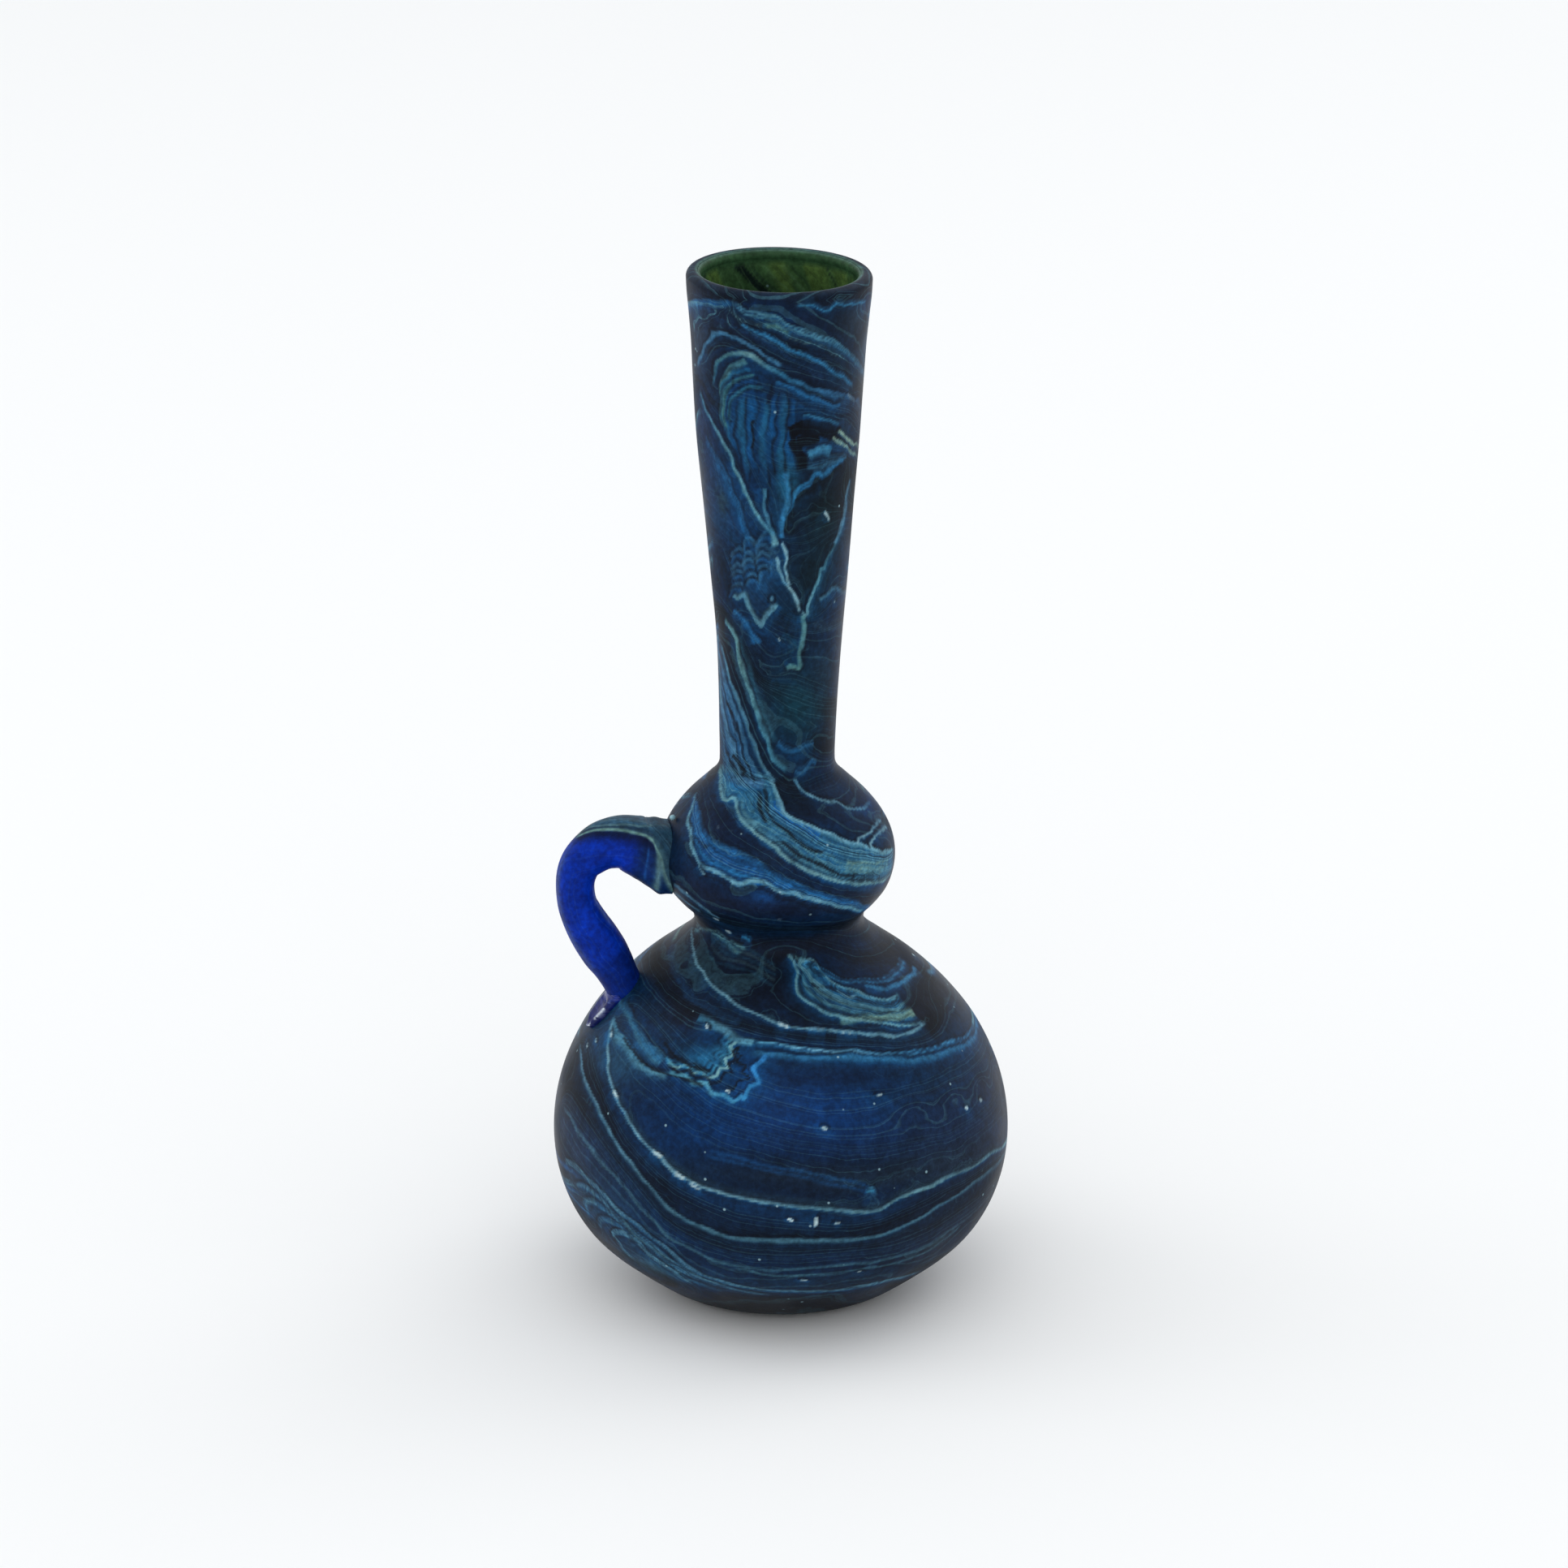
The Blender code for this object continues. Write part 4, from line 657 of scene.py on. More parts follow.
# painted highlight: a short white glint streak on the right of the upper neck
line([(-43.9, 215.2), (-38, 213.6), (-31.7, 211.6)], 0.5, rgb(150, 170, 180), a=0.8, up=0.3, dn=0.5, fade=0.2)
line([(-92, 199), (-90, 192), (-94, 187), (-97, 183)], 0.7, rgb(50, 120, 164), a=0.75, up=0.9, dn=0.9)
line([(-160, 205), (-150, 201), (-140, 196.5), (-131, 191), (-124, 186), (-116, 181)], 1.4, rgb(44, 104, 146), a=0.6, up=1.4, dn=1.4)
line([(-165, 198), (-152, 193), (-140, 187), (-130, 182)], 0.7, rgb(14, 34, 60), a=0.7, up=0.8, dn=0.8)

# ---------------------------------------------------------------- far side
tones = [rgb(70, 124, 150), rgb(14, 32, 56), rgb(92, 140, 150), rgb(22, 76, 128), rgb(58, 104, 128), rgb(10, 24, 44), rgb(110, 148, 138), rgb(34, 96, 146)]
br = np.random.RandomState(23)
for k in range(26):
    blob(-12 + 185 * br.rand(), 14 + 218 * br.rand(), 14 + 26 * br.rand(), 3 + 6 * br.rand(), (rgb(6, 12, 26), rgb(5, 48, 98), rgb(8, 22, 44), rgb(16, 70, 104), rgb(7, 16, 32))[k % 5], 0.7, tilt=-0.2 * br.rand())
for k, (v, pts) in enumerate(BACKS):
    for q in range(4 if v > 60 else 3):
        dz = (q - 1.4) * (1.6 + 1.3 * br.rand()) * (1.0 if v > 60 else 1.6)
        cut = int(br.rand() * 2.2)
        tail_cut = int(br.rand() * 2.2)
        pts = [q for q in pts if q[0] > -34] or pts
        part = pts[cut:len(pts) - tail_cut] if len(pts) - cut - tail_cut >= 4 else pts
        p = [(a + br.rand() * 5, min(max(z + dz + 2.6 * (br.rand() - 0.5), 8), 237.6)) for a, z in part]
        c = tones[int(br.rand() * len(tones))]
        wide = (0.35, 1.5, 0.4, 0.8)[q] * (0.8 + 0.6 * br.rand())
        line(p, wide, c, a=0.8, up=0.4 + br.rand() * 1.2, dn=0.4 + br.rand(), lump=0.35, fade=0.06, lam=0.8 if v > 90 else 0.5)
for p in (B7[-5:] + [(80, 37), (110, 36)], [(-15, 63.3), (20, 61.5), (50, 62), (90, 64.5), (130, 61.5), (175, 59.1)]):
    line(p, 0.5, rgb(110, 152, 160), a=0.9, up=1.0, dn=0.4)
for k in range(46):
    a, z = -10 + 190 * br.rand(), 12 + 215 * br.rand()
    line([(a - 0.4, z), (a + 0.4, z - 0.1)], 0.35 + 0.2 * br.rand(), rgb(170, 195, 198), a=0.9, up=0.3, dn=0.3, fade=0)


# -------------------------------------------------------------- mesh helpers
def build(name, V, quads, tris, cols=None, extra=None):
    V = np.asarray(V, float) * MM
    q, t = np.asarray(quads, int).reshape(-1, 4), np.asarray(tris, int).reshape(-1, 3)
    me = bpy.data.meshes.new(name)
    me.vertices.add(len(V))
    me.vertices.foreach_set("co", V.astype(np.float32).ravel())
    me.loops.add(q.size + t.size)
    me.loops.foreach_set("vertex_index", np.r_[q.ravel(), t.ravel()].astype(np.int32))
    me.polygons.add(len(q) + len(t))
    me.polygons.foreach_set("loop_start", np.r_[np.arange(len(q)) * 4, q.size + np.arange(len(t)) * 3].astype(np.int32))
    me.update(calc_edges=True)
    me.validate()
    me.shade_smooth()
    if cols is not None:
        c = np.ones((len(V), 4), np.float32)
        c[:, :3] = to_linear(cols)
        me.attributes.new("base", "FLOAT_COLOR", "POINT").data.foreach_set("color", c.ravel())
    for k, v in (extra or {}).items():
        me.attributes.new(k, "FLOAT", "POINT").data.foreach_set("value", np.asarray(v, np.float32))
    ob = bpy.data.objects.new(name, me)
    bpy.context.scene.collection.objects.link(ob)
    return ob


def weave(rows):
    """Joins rings of points, bottom centre first, into one closed skin. A ring of one point is a centre, and 2:1 steps are allowed."""
    start = np.r_[0, np.cumsum([len(r) for r in rows])]
    Q, T = [], []
    for k in range(len(rows) - 1):
        a, b, na, nb = start[k], start[k + 1], len(rows[k]), len(rows[k + 1])
        if na == nb:
            j = np.arange(na)
            j2 = (j + 1) % na
            Q.append(np.stack([a + j, a + j2, b + j2, b + j], 1))
        elif na == 1:
            j = np.arange(nb)
            T.append(np.stack([np.full(nb, a), b + (j + 1) % nb, b + j], 1))
        elif nb == 1:
            j = np.arange(na)
            T.append(np.stack([a + j, a + (j + 1) % na, np.full(na, b)], 1))
        else:
            j = np.arange(nb)
            l0, l1, l2, u0, u1 = a + 2 * j, a + 2 * j + 1, a + (2 * j + 2) % na, b + j, b + (j + 1) % nb
            T += [np.stack([l0, l1, u0], 1), np.stack([l1, u1, u0], 1), np.stack([l1, l2, u1], 1)]
    return (np.concatenate(Q) if Q else np.zeros((0, 4), int)), (np.concatenate(T) if T else np.zeros((0, 3), int))


def offset(depth, zs):
    """Profile points `depth` inside the wall, where the wall is at heights zs."""
    i = np.searchsorted(FINE[:, 1], zs)
    i = np.clip(i, 1, len(FINE) - 2)
    d = FINE[i + 1] - FINE[i - 1]
    d /= np.linalg.norm(d, axis=1)[:, None]
    return np.c_[radius(zs) - d[:, 1] * depth, zs + d[:, 0] * depth]


def cols_like(n, c):
    return np.tile(np.array(c, float), (n, 1))


# ------------------------------------------------------------- outer casing
rows, cols, lam, flow = [], [], [], []


def add_ring(r, z, th, c, l=0.3, f=0.0):
    p = place([r], th, [z])[0] if len(th) > 1 else np.array([[0.0, 0.0, z]])
    rows.append(p)
    cols.append(np.array(c, float) if np.ndim(c) == 2 else cols_like(len(p), c))
    lam.append(np.full(len(p), l) if np.ndim(l) == 0 else l)
    flow.append(np.full(len(p), f) if np.ndim(f) == 0 else f)


KICK_R = 12.0
foot = BODY.rgb[0] * 0.85
add_ring(0, 3.0, [0.0], foot.mean(0))
for r in (1.5, 3, 4.5, 6, 7.5, 9, 10, 11, 11.7):
    add_ring(r, 3.0 * (1 - (r / KICK_R) ** 2), BODY.th, foot, 0.3, BODY.flow[0])
for r in (12.3, 13.4, 15, 16.5, 18):
    add_ring(r, 0.0 if 13 < r < 18.2 else 0.05, BODY.th, foot, 0.3, BODY.flow[0])
for sh, last in ((BODY, 1), (TOP, 0)):
    P = place(sh.r * 0.9999, sh.th, sh.z)
    for i in range(len(sh.s) - last):
        rows.append(P[i])
        cols.append(sh.rgb[i])
        lam.append(sh.lam[i])
        flow.append(sh.flow[i])
top_c, top_f = TOP.rgb[-1], TOP.flow[-1]
for a in np.arange(8, 123, 9.5):
    u = smooth(a, 5, 60)
    c = top_c * (1 - u) + (rgb(21, 36, 54) * 0.8 + top_c * 0.2) * u
    v = smooth(a, 94, 108)
    c = c * (1 - v) + rgb(66, 96, 88) * v
    add_ring(LIP_C[0] + LIP_R * math.cos(math.radians(a)), LIP_C[1] + LIP_R * math.sin(math.radians(a)), TOP.th, c, 0.25, top_f + a * 0.02)
add_ring(18.6, 238.6, TOP.th, top_c * 0.5)
zs = np.r_[np.arange(235.5, 130, -6.0), np.arange(128, 20, -3.0), 16.0]
for (r, z) in offset(1.8, zs):
    add_ring(r, max(z, 7.6), TOP.th, rgb(14, 30, 44))
for r in (30, 18, 8):
    add_ring(r, 7.5, TOP.th, rgb(14, 30, 44))
add_ring(0, 7.5, [0.0], rgb(14, 30, 44))
Q, T = weave(rows)
casing = build("casing", np.concatenate(rows), Q, T, np.concatenate(cols), {"lam": np.concatenate(lam), "flow": np.concatenate(flow)})

# ------------------------------------------------------------- green lining
NL = 320
lth = TAU * np.arange(NL) / NL
rows, cols, lam, flow = [], [], [], []
add_ring(0, 7.9, [0.0], rgb(14, 34, 30))
for r in (8, 18, 30):
    add_ring(r, 7.9, lth, rgb(14, 34, 30))
for (r, z) in offset(2.1, np.r_[16.0, np.arange(20, 128, 3.0), np.arange(130, 236, 6.0)]):
    add_ring(r, max(z, 8.0), lth, rgb(14, 34, 30))
add_ring(18.5, 238.2, lth, rgb(40, 70, 70))
deg = np.degrees(lth)
for a in np.arange(124, 205, 8):
    v = smooth(a, 128, 150)
    c = rgb(70, 100, 88) * (1 - v) + rgb(44, 74, 48) * v
    add_ring(LIP_C[0] + LIP_R * math.cos(math.radians(a)), LIP_C[1] + LIP_R * math.sin(math.radians(a)), lth, c, 0.2, 0.0)
inner = offset(3.4, np.r_[np.arange(236.2, 196, -0.7), np.arange(195, 130, -4.0), np.arange(128, 20, -3.0), 17.0])
for k, (r, z) in enumerate(inner):
    dep = 238 - z
    zz = np.full(NL, z)
    run = deg * 0.30 + dep * 1.0            # dark streaks fall across the throat
    n = line_noise(77, (run % 108) / 3.0, 3)
    m = line_noise(78, deg / 14.0 + k * 0.07, 2)
    g = rgb(60, 90, 50)[None] * (1 - n[:, None]) + rgb(36, 64, 42)[None] * n[:, None]
    g = g + (rgb(88, 112, 50) - g) * (smooth(m, 0.45, 0.75) * 0.6 * math.exp(-dep / 18.0))[:, None]
    g = g + (rgb(10, 20, 22) - g) * (smooth(n, 0.62, 0.72) * 0.75)[:, None]
    # painted shade: the throat darkens with depth below the lip
    g = g * (0.5 + 0.5 * math.exp(-dep / 34.0))
    add_ring(r, max(z, 9.4), lth, g, 0.5, run * 0.35)
for r in (30, 16, 6):
    add_ring(r, 9.3, lth, rgb(10, 22, 20))
add_ring(0, 9.3, [0.0], rgb(10, 22, 20))
Q, T = weave(rows)
lining = build("lining", np.concatenate(rows), Q, T, np.concatenate(cols), {"lam": np.concatenate(lam), "flow": np.concatenate(flow)})


# -------------------------------------------------- handle, along -X, in mm
HANDLE = [(25.3, 103.9, 8.2, 7.4), (26.8, 104.1, 8.2, 7.4), (28.6, 104.4, 8.15, 7.35), (30.4, 105.3, 7.5, 7.1), (33.0, 106.8, 6.7, 6.8), (36.4, 107.9, 6.05, 6.4),
          (40.3, 107.3, 5.6, 6.0), (43.3, 105.5, 5.1, 5.6), (45.4, 103.4, 4.7, 5.2), (46.5, 100.8, 4.5, 5.0), (46.85, 97.8, 4.38, 4.9),
          (46.4, 93.7, 4.5, 4.9), (45.5, 91.2, 4.75, 5.0), (44.0, 88.1, 5.1, 5.2), (42.2, 85.0, 5.35, 5.4), (40.2, 81.6, 5.3, 5.3),
          (38.6, 78.9, 4.9, 5.0), (37.1, 75.9, 4.5, 4.8), (35.6, 72.9, 4.3, 4.7), (34.2, 70.6, 3.6, 4.2)]
hp = curve(HANDLE, 14)
hl = np.r_[0, np.cumsum(np.linalg.norm(np.diff(hp[:, :2], axis=0), axis=1))]
NT, NP = 250, 112
ts = np.linspace(0, hl[-1], NT)
hc = np.stack([np.interp(ts, hl, hp[:, k]) for k in range(4)], 1)
tz = ts - 3.1                                  # 0 where the bit leaves the knop
tan = np.gradient(np.c_[-hc[:, 0], hc[:, 1]], axis=0)
tan /= np.linalg.norm(tan, axis=1)[:, None]
turn = smooth(tz, 0, 9.8)[:, None]
tan = np.array([[-1.0, 0.0]]) * (1 - turn) + tan * turn
tan /= np.linalg.norm(tan, axis=1)[:, None]
power = (2 + 0.9 * (1 - smooth(tz, 0, 12)))[:, None]
ph = np.radians(np.linspace(-270, 90, NP, endpoint=False))
C1, S1 = np.cos(ph)[None], np.sin(ph)[None]
C1, S1 = np.sign(C1) * np.abs(C1) ** (2 / power), np.sign(S1) * np.abs(S1) ** (2 / power)
T2, P2 = np.broadcast_to(tz[:, None], (NT, NP)), np.broadcast_to(np.degrees(ph)[None], (NT, NP))
near = -np.abs(P2 + 90) - 90                   # the same on both faces: -180 on top, -90 on either side, 0 inside
PP = np.where(P2 < -180, -360 - P2, P2)        # far face mirrored
PP = np.where(P2 > 0, -P2, PP)
hs = np.random.RandomState(8)
wob = periodic_noise(hs, 3, (10, 6), ts / hl[-1], np.arange(NP) / NP)
scale = 1 - 0.018 * wob - 0.02 * np.exp(-((T2 - 3.6) / 0.7) ** 2)   # a slight crease at the collar
scale = scale + 0.03 * np.exp(-((tz[:, None] + 0.2) / 1.2) ** 2)
N = np.stack([-tan[:, 1], 0 * tan[:, 0], tan[:, 0]], 1)
HV = (np.stack([-hc[:, 0], 0 * hc[:, 0], hc[:, 1]], 1)[:, None]
      + N[:, None] * (hc[:, 2][:, None] * C1 * scale)[..., None]
      + np.array([0, 1.0, 0]) * (hc[:, 3][:, None] * S1 * scale)[..., None])
lo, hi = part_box("handle")
zlow = CAD_BOX[0][0] / MM
COBALT, COBALT_D = rgb(0, 44, 158), rgb(0, 26, 104)
hcol = np.tile(COBALT, (NT, NP, 1))
n3 = periodic_noise(hs, 4, (18, 8), ts / hl[-1], np.arange(NP) / NP)[..., None]
hcol = hcol + (COBALT_D - hcol) * np.clip(n3 * 1.3 - 0.35, 0, 1) * 0.8
edge_t = np.array([-3, 0, 1.7, 4.6, 8.0, 10.1, 12.3, 14.4, 16.1, 18.2, 21, 60])
edge_p = np.array([-60, -104, -124, -129, -132, -140, -150, -166, -178, -192, -230, -260.0])
bnd = np.interp(T2, edge_t, edge_p)
arc = (bnd - PP) * 0.105                       # mm from the boundary line, positive on the coat
flow_h = arc + 0.12 * T2 + 1.6 * wob
m1 = line_noise(51, flow_h / 1.1 + 40, 3)[..., None]
coat = rgb(46, 92, 118) * (1 - m1) + rgb(30, 52, 72) * m1
coat = coat + (rgb(72, 104, 112) - coat) * smooth(m1, 0.62, 0.75) * 0.7


def over(mask, c):
    global hcol
    hcol = hcol + (np.asarray(c) - hcol) * np.clip(mask, 0, 1)[..., None]


over(smooth(arc, -0.1, 0.5), coat)
over(smooth(7.6 - T2, 0, 3.6) * 0.9 * smooth(0.4 - arc, 0, 0.5), rgb(8, 34, 66))
over(np.exp(-((arc + 0.9) / 1.9) ** 2) * 0.9 * smooth(T2, -1, 2) * (1 - smooth(T2, 15, 19)), rgb(3, 14, 44))
over(np.exp(-((arc - 1.2) / 0.8) ** 2) * 0.55 * (T2 < 16), rgb(26, 46, 62))
width = np.interp(T2, [-3, 0.3, 2.2, 5, 12, 16, 19], [2.4, 1.7, 0.6, 0.42, 0.5, 0.35, 0.1])
over(np.exp(-(np.abs(arc) / width) ** 3) * (1 - smooth(T2, 15.5, 18.5)), rgb(92, 128, 124))
up_b = np.interp(T2, [-3, 1.1, 6.8, 9.9, 12.3, 13.9, 18], [-172, -167, -150, -152, -163, -180, -200])
over(np.exp(-(((up_b - PP) * 0.105) / 0.35) ** 2) * 0.75 * (T2 < 15), rgb(84, 118, 124))
collar = smooth(1.9 - T2, -0.4, 0.6) * smooth(arc, -0.4, 0.3)
over(collar * 0.7, rgb(24, 52, 70))
wedge = np.exp(-((T2 - 0.6 - 0.012 * (PP + 70)) / 0.8) ** 2) * smooth(PP, -112, -92) * (1 - smooth(PP, -52, -30))
over(wedge * 0.95, rgb(88, 122, 118))
over(np.exp(-((T2 - 3.2) / 0.28) ** 2) * smooth(PP, -112, -98) * (1 - smooth(PP, -60, -45)) * 0.55, rgb(30, 92, 150))
fringe = np.exp(-((PP + 166 - (T2 - 20) * 0.9) / 13.0) ** 2) * smooth(T2, 16, 21) * (1 - smooth(T2, 42, 48))
over(fringe * 0.55, rgb(88, 92, 132))
# painted highlight: a pale lavender sliver of reflected light along the inner edge of the handle's lower run
painted_sliver_highlight = np.exp(-((PP + 22) / 8.0) ** 2) * smooth(T2, 21, 26) * (1 - smooth(T2, 35, 40))
over(painted_sliver_highlight * 0.55, rgb(110, 128, 190))
over(smooth(T2, 40, 47) * 0.45, rgb(4, 24, 70))
over(np.exp(-((T2 - 10) / 9) ** 2) * np.exp(-((PP + 75) / 30) ** 2) * 0.35, rgb(2, 44, 165))
hrows = [HV[0].mean(0)[None]] + list(HV) + [HV[-1].mean(0)[None]]
hcs = [hcol[0].mean(0)[None]] + list(hcol) + [hcol[-1].mean(0)[None]]
HVx = np.concatenate(hrows)
box_lo = np.array(lo) / MM
HVx[:, 0] = np.maximum(HVx[:, 0], box_lo[0] + 0.02)
Q, T = weave(hrows)
handle = build("handle_bit", HVx, Q[:, ::-1], T[:, ::-1], np.concatenate(hcs),
               {"lam": np.r_[0.2, (0.25 + 0.5 * smooth(arc, 0, 1)).ravel(), 0.2], "flow": np.r_[0, flow_h.ravel() * 0.7, 0]})


def skin_point(y, z, lift_mm):
    """A point lift_mm off the wall on the handle side."""
    r = float(radius(z))
    e = 0.2
    slope = (float(radius(z + e)) - float(radius(z - e))) / (2 * e)
    k = 1 / math.sqrt(1 + slope * slope)
    rr = r + lift_mm * k
    zz = z - slope * lift_mm * k
    th = math.pi + y / r
    return np.array([rr * math.cos(th) + float(drift(z)), rr * math.sin(th), zz])


# --------------------------------------- tail: the sheared end, dished, glossy rim with painted white highlight glints
tr, tc, tl = [], [], []
NTail, MT = 46, 60
ts2 = np.linspace(0, 1, NTail)
zc = 71.6 - ts2 * 8.2
hw = np.interp(ts2, [0, 0.25, 0.5, 0.72, 0.88, 0.96, 1.0], [4.35, 4.2, 3.85, 3.1, 2.0, 1.15, 0.35])
tn = np.random.RandomState(12)
chip = periodic_noise(tn, 4, (9, 7), ts2, np.arange(MT) / MT)
for i in range(NTail):
    ring, rc = [], []
    for j in range(MT):
        a = TAU * j / MT
        c, s = math.cos(a), math.sin(a)
        y = hw[i] * c * (1 + 0.06 * (chip[i, j] - 0.5))
        dish = 1 - 0.62 * math.exp(-(c / 0.62) ** 4) * float(smooth(ts2[i], 0.12, 0.4)) * (1 - 0.8 * float(smooth(ts2[i], 0.85, 1.0)))
        h = (2.1 * dish * (abs(s) ** 0.55) * (1 - 0.35 * float(smooth(ts2[i], 0.75, 1))) * (0.93 + 0.14 * chip[i, j])) if s > 0 else -0.5 * abs(s)
        h = min(h, 2.05)
        ring.append(skin_point(y, zc[i], h))
        # painted highlights: white glints broken along the raised rim and near the tip, over the tail's own blue-purple
        # glass
        rim = math.exp(-((abs(c) - 0.86) / 0.11) ** 2) * (1 if s > 0 else 0) * float(smooth(ts2[i], 0.1, 0.35))
        col = rgb(5, 18, 78) * (1 - chip[i, j]) + rgb(36, 42, 104) * chip[i, j]
        low = float(smooth(ts2[i], 0.9, 0.98))
        col = col + (rgb(214, 224, 232) - col) * min(1.0, rim * float(smooth(chip[i, j], 0.40, 0.48)) * 1.0 + 0.5 * low * float(smooth(chip[i, j], 0.4, 0.5)))
        col = col + (rgb(2, 32, 118) - col) * (1 - float(smooth(ts2[i] + 0.12 * c, 0.12, 0.5)))
        rc.append(col)
    tr.append(np.array(ring))
    tc.append(np.array(rc))
    tl.append(np.full(MT, 0.4))
hrows = [tr[0].mean(0)[None]] + tr + [tr[-1].mean(0)[None]]
tcs = [tc[0].mean(0)[None]] + tc + [tc[-1].mean(0)[None]]
Q, T = weave(hrows)
TV = np.concatenate(hrows)
tail = build("sheared_tail", TV, Q, T, np.concatenate(tcs), {"lam": np.full(len(TV), 0.4), "flow": TV[:, 2] * 0.8})

# ------------------------------------------------------------- bead, pontil
bl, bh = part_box("joint_bead")
bc = np.array((bl + bh) / 2) / MM


def pebble(name, centre, radii, nr, nc, seed, base_c, alt_c, rough):
    r = np.random.RandomState(seed)
    v = (np.arange(nr) + 0.5) / nr
    n = periodic_noise(r, 4, (4, 5), v, np.arange(nc) / nc)
    out, cs = [], []
    for i in range(nr):
        el = -math.pi / 2 + math.pi * (i + 0.5) / nr
        k = 1 - rough * n[i][:, None]
        a = TAU * np.arange(nc) / nc
        out.append(np.array(centre) + np.c_[np.cos(a) * math.cos(el) * radii[0], np.sin(a) * math.cos(el) * radii[1], np.full(nc, math.sin(el) * radii[2])] * k)
        cs.append(base_c * (1 - n[i][:, None]) + alt_c * n[i][:, None])
    rr = [out[0].mean(0)[None]] + out + [out[-1].mean(0)[None]]
    cc = [cs[0].mean(0)[None]] + cs + [cs[-1].mean(0)[None]]
    q, t = weave(rr)
    V = np.concatenate(rr)
    return build(name, V, q, t, np.concatenate(cc), {"lam": np.full(len(V), 0.3), "flow": V[:, 2]})


bead = pebble("bead", bc + np.array([0.25, 0, -0.1]), (0.72, 0.62, 0.66), 28, 40, 3, rgb(150, 182, 188), rgb(96, 140, 160), 0.12)
pl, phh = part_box("pontil_mark")
pc = np.array((pl + phh) / 2) / MM
pontil = pebble("pontil", pc, (4.5, 4.5, 0.68), 30, 72, 5, rgb(24, 46, 64), rgb(92, 118, 126), 0.14)


# ---------------------------------------------------------------- materials
def node(nt, kind, loc=(0, 0), **kw):
    n = nt.nodes.new(kind)
    n.location = loc
    for k, v in kw.items():
        setattr(n, k, v)
    return n


def math_node(nt, op, a, b=None, clamp=False):
    n = node(nt, "ShaderNodeMath", operation=op, use_clamp=clamp)
    for k, v in enumerate((a, b)):
        if v is None:
            continue
        if isinstance(v, (int, float)):
            n.inputs[k].default_value = v
        else:
            nt.links.new(v, n.inputs[k])
    return n.outputs[0]


def ramp(nt, v, lo, hi, a=0.0, b=1.0):
    n = node(nt, "ShaderNodeMapRange", interpolation_type="SMOOTHSTEP")
    nt.links.new(v, n.inputs["Value"])
    n.inputs["From Min"].default_value, n.inputs["From Max"].default_value = lo, hi
    n.inputs["To Min"].default_value, n.inputs["To Max"].default_value = a, b
    return n.outputs["Result"]


def mix(nt, f, a, b, blend="MIX"):
    n = node(nt, "ShaderNodeMix", data_type="RGBA", blend_type=blend)
    nt.links.new(f, n.inputs[0]) if not isinstance(f, float) else setattr(n.inputs[0], "default_value", f)
    for k, v in ((6, a), (7, b)):
        if isinstance(v, tuple):
            n.inputs[k].default_value = v
        else:
            nt.links.new(v, n.inputs[k])
    return n.outputs[2]


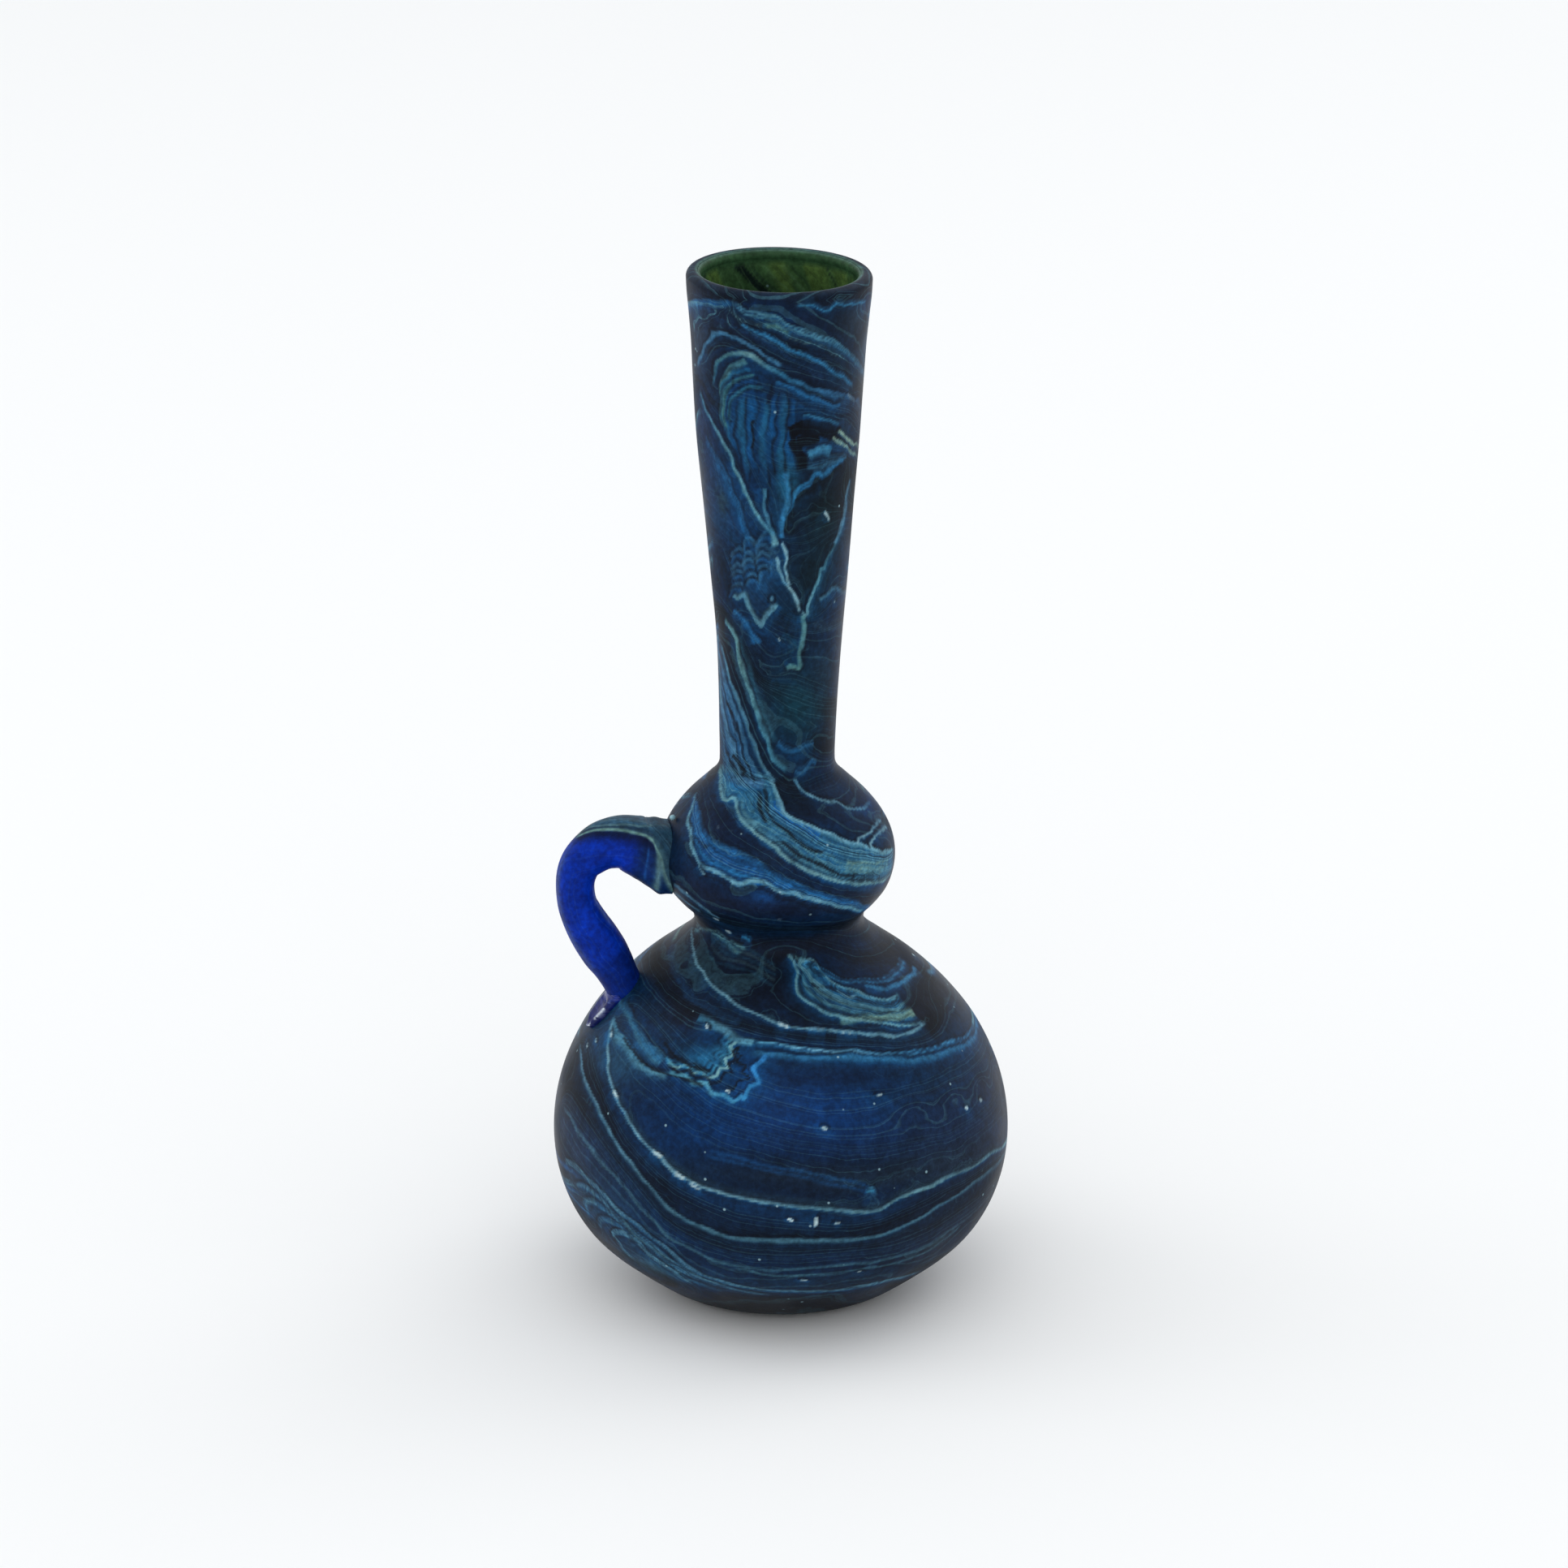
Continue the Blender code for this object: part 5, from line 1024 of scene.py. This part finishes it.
def glass(name, pale, dark, rough=(0.36, 0.5), amp=0.8, fine=1.2, specks=0.6, bump=0.35, coat=0.0, grain=1.0):
    m = bpy.data.materials.new(name)
    m.use_nodes = True
    nt = m.node_tree
    L = nt.links.new
    b = nt.nodes["Principled BSDF"]
    co = node(nt, "ShaderNodeTexCoord").outputs["Object"]
    base = node(nt, "ShaderNodeAttribute", attribute_name="base").outputs["Color"]
    flow = node(nt, "ShaderNodeAttribute", attribute_name="flow").outputs["Fac"]
    lam = node(nt, "ShaderNodeAttribute", attribute_name="lam").outputs["Fac"]

    def noise(scale, detail, rough_n=0.55, w=None, distort=0.0):
        n = node(nt, "ShaderNodeTexNoise", noise_dimensions="1D" if w is not None else "3D")
        if w is not None:
            L(w, n.inputs["W"])
        else:
            L(co, n.inputs["Vector"])
        n.inputs["Scale"].default_value, n.inputs["Detail"].default_value = scale, detail
        n.inputs["Roughness"].default_value, n.inputs["Distortion"].default_value = rough_n, distort
        return n.outputs["Fac"]
    cloud = noise(45.0, 3.0)
    mott = noise(240.0, 5.0, 0.62)
    w = math_node(nt, "ADD", flow, math_node(nt, "MULTIPLY", cloud, 5.0))
    w = math_node(nt, "ADD", w, math_node(nt, "MULTIPLY", mott, 0.55))
    bands = noise(fine, 4.0, 0.7, w=w)
    hi = math_node(nt, "MULTIPLY", ramp(nt, bands, 0.54, 0.66), math_node(nt, "MULTIPLY", lam, amp))
    lo_ = math_node(nt, "MULTIPLY", ramp(nt, bands, 0.46, 0.34), math_node(nt, "MULTIPLY", lam, amp * 1.25))
    c = mix(nt, hi, base, pale)
    c = mix(nt, lo_, c, dark)
    v = math_node(nt, "MULTIPLY", ramp(nt, mott, 0.3, 0.7, 0.76, 1.22), ramp(nt, noise(900.0, 2.0, 0.6), 0.32, 0.68, 0.78, 1.2))
    hsv = node(nt, "ShaderNodeHueSaturation")
    L(v, hsv.inputs["Value"])
    L(c, hsv.inputs["Color"])
    c = hsv.outputs["Color"]
    vor = node(nt, "ShaderNodeTexVoronoi", feature="F1")
    L(co, vor.inputs["Vector"])
    vor.inputs["Scale"].default_value = 260.0
    sep = node(nt, "ShaderNodeSeparateColor")
    L(vor.outputs["Color"], sep.inputs["Color"])
    keep = ramp(nt, sep.outputs[0], 0.80, 0.86)
    dot = ramp(nt, vor.outputs["Distance"], 0.11, 0.05)
    c = mix(nt, math_node(nt, "MULTIPLY", math_node(nt, "MULTIPLY", keep, dot), specks), c, (0.30, 0.48, 0.55, 1))
    L(c, b.inputs["Base Color"])
    grit = noise(1500.0 * grain, 3.0)
    r = math_node(nt, "ADD", ramp(nt, cloud, 0.35, 0.65, rough[0], rough[1]), math_node(nt, "MULTIPLY", grit, 0.06))
    L(r, b.inputs["Roughness"])
    h = math_node(nt, "ADD", math_node(nt, "MULTIPLY", grit, 0.12), math_node(nt, "MULTIPLY", math_node(nt, "MULTIPLY", bands, lam), 0.5))
    h = math_node(nt, "ADD", h, math_node(nt, "MULTIPLY", cloud, 1.2))
    h = math_node(nt, "SUBTRACT", h, math_node(nt, "MULTIPLY", math_node(nt, "MULTIPLY", keep, dot), 0.4))
    bp = node(nt, "ShaderNodeBump")
    bp.inputs["Strength"].default_value, bp.inputs["Distance"].default_value = bump, 0.00022
    L(h, bp.inputs["Height"])
    L(bp.outputs["Normal"], b.inputs["Normal"])
    b.inputs["IOR"].default_value = 1.5
    b.inputs["Specular IOR Level"].default_value = 0.07
    if coat:
        b.inputs["Coat Weight"].default_value = coat
        b.inputs["Coat Roughness"].default_value = 0.12
    return m


MAT = {
    "casing": glass("etched_swirl_glass", (0.085, 0.235, 0.30, 1), (0.0035, 0.009, 0.02, 1)),
    "lining": glass("green_lining_glass", (0.07, 0.14, 0.07, 1), (0.004, 0.010, 0.012, 1), rough=(0.3, 0.42), amp=0.45, specks=0.35),
    "handle": glass("etched_cobalt_glass", (0.05, 0.12, 0.2, 1), (0.002, 0.008, 0.04, 1), rough=(0.4, 0.52), amp=0.4, specks=0.12),
    "tail": glass("sheared_glass_skin", (0.10, 0.12, 0.32, 1), (0.004, 0.008, 0.05, 1), rough=(0.12, 0.4), amp=0.5, specks=0.3, bump=0.7, coat=0.25),
    "bead": glass("pale_bead_glass", (0.5, 0.65, 0.68, 1), (0.08, 0.17, 0.24, 1), rough=(0.15, 0.3), amp=0.5, specks=0.2, coat=0.4),
    "pontil": glass("pontil_glass", (0.25, 0.35, 0.38, 1), (0.006, 0.015, 0.025, 1), rough=(0.1, 0.35), amp=0.6, specks=0.3, bump=1.0, coat=0.4),
}
PIECES = [(casing, "casing", "outer_casing", "swirled_casing"), (lining, "lining", "inner_lining", "green_lining"),
          (handle, "handle", "handle", "cobalt_handle"), (tail, "tail", "handle_tail", "sheared_glass"),
          (bead, "bead", "joint_bead", "bead_glass"), (pontil, "pontil", "pontil_mark", "pontil_glass")]
for ob, key, cad, slot in PIECES:
    ob.data.materials.append(MAT[key])
    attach(ob, "root")
    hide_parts(cad)

# ------------------------------------------------------- floor, light, camera
bm_n = 24
gx = np.linspace(-5.0, 5.0, bm_n + 1)
FV = np.array([[x, y, 0.0] for y in gx for x in gx]) / MM
FQ = [[j * (bm_n + 1) + i, j * (bm_n + 1) + i + 1, (j + 1) * (bm_n + 1) + i + 1, (j + 1) * (bm_n + 1) + i] for j in range(bm_n) for i in range(bm_n)]
floor = build("floor", FV, FQ, [])
fm = bpy.data.materials.new("pale_floor")
fm.use_nodes = True
fb = fm.node_tree.nodes["Principled BSDF"]
fb.inputs["Base Color"].default_value = (0.90, 0.905, 0.91, 1)
fb.inputs["Roughness"].default_value = 0.75
fb.inputs["Specular IOR Level"].default_value = 0.1
floor.data.materials.append(fm)

scene = bpy.context.scene
scene.view_settings.view_transform = "Standard"
scene.view_settings.look = "None"
world = bpy.data.worlds.new("studio")
world.use_nodes = True
world.node_tree.nodes["Background"].inputs["Color"].default_value = (0.95, 0.965, 0.975, 1)
world.node_tree.nodes["Background"].inputs["Strength"].default_value = 0.95
scene.world = world


def lamp(name, at, size, watts, colour=(1, 1, 1)):
    d = bpy.data.lights.new(name, "AREA")
    d.shape = "RECTANGLE"
    d.size, d.size_y, d.energy, d.color = size[0], size[1], watts, colour
    o = bpy.data.objects.new(name, d)
    bpy.context.scene.collection.objects.link(o)
    o.location = at
    o.rotation_euler = (Vector((0, 0, 0.12)) - Vector(at)).to_track_quat("-Z", "Y").to_euler()


lamp("soft_left", (-1.5, 0.55, 1.25), (1.2, 1.2), 4.5)
lamp("soft_right", (1.35, 0.75, 1.35), (1.2, 1.2), 4.5)
lamp("front_fill", (-0.2, -1.9, 1.6), (1.8, 1.2), 7)

cam_d = bpy.data.cameras.new("camera")
cam = bpy.data.objects.new("camera", cam_d)
scene.collection.objects.link(cam)
right = Vector((0.990268, -0.139173, 0.0))
fwd = Vector((0.131190, 0.933468, -0.333807))
up = Vector((0.046457, 0.330558, 0.942641))
M = Matrix((right, up, -fwd)).transposed().to_4x4()
M.translation = Vector((-0.215348, -1.537541, 0.669744))
cam.matrix_world = M
cam_d.sensor_width = 36.0
cam_d.lens = 9000.0 / 1932.0 * 36.0
cam_d.clip_start, cam_d.clip_end = 0.05, 30.0
scene.camera = cam
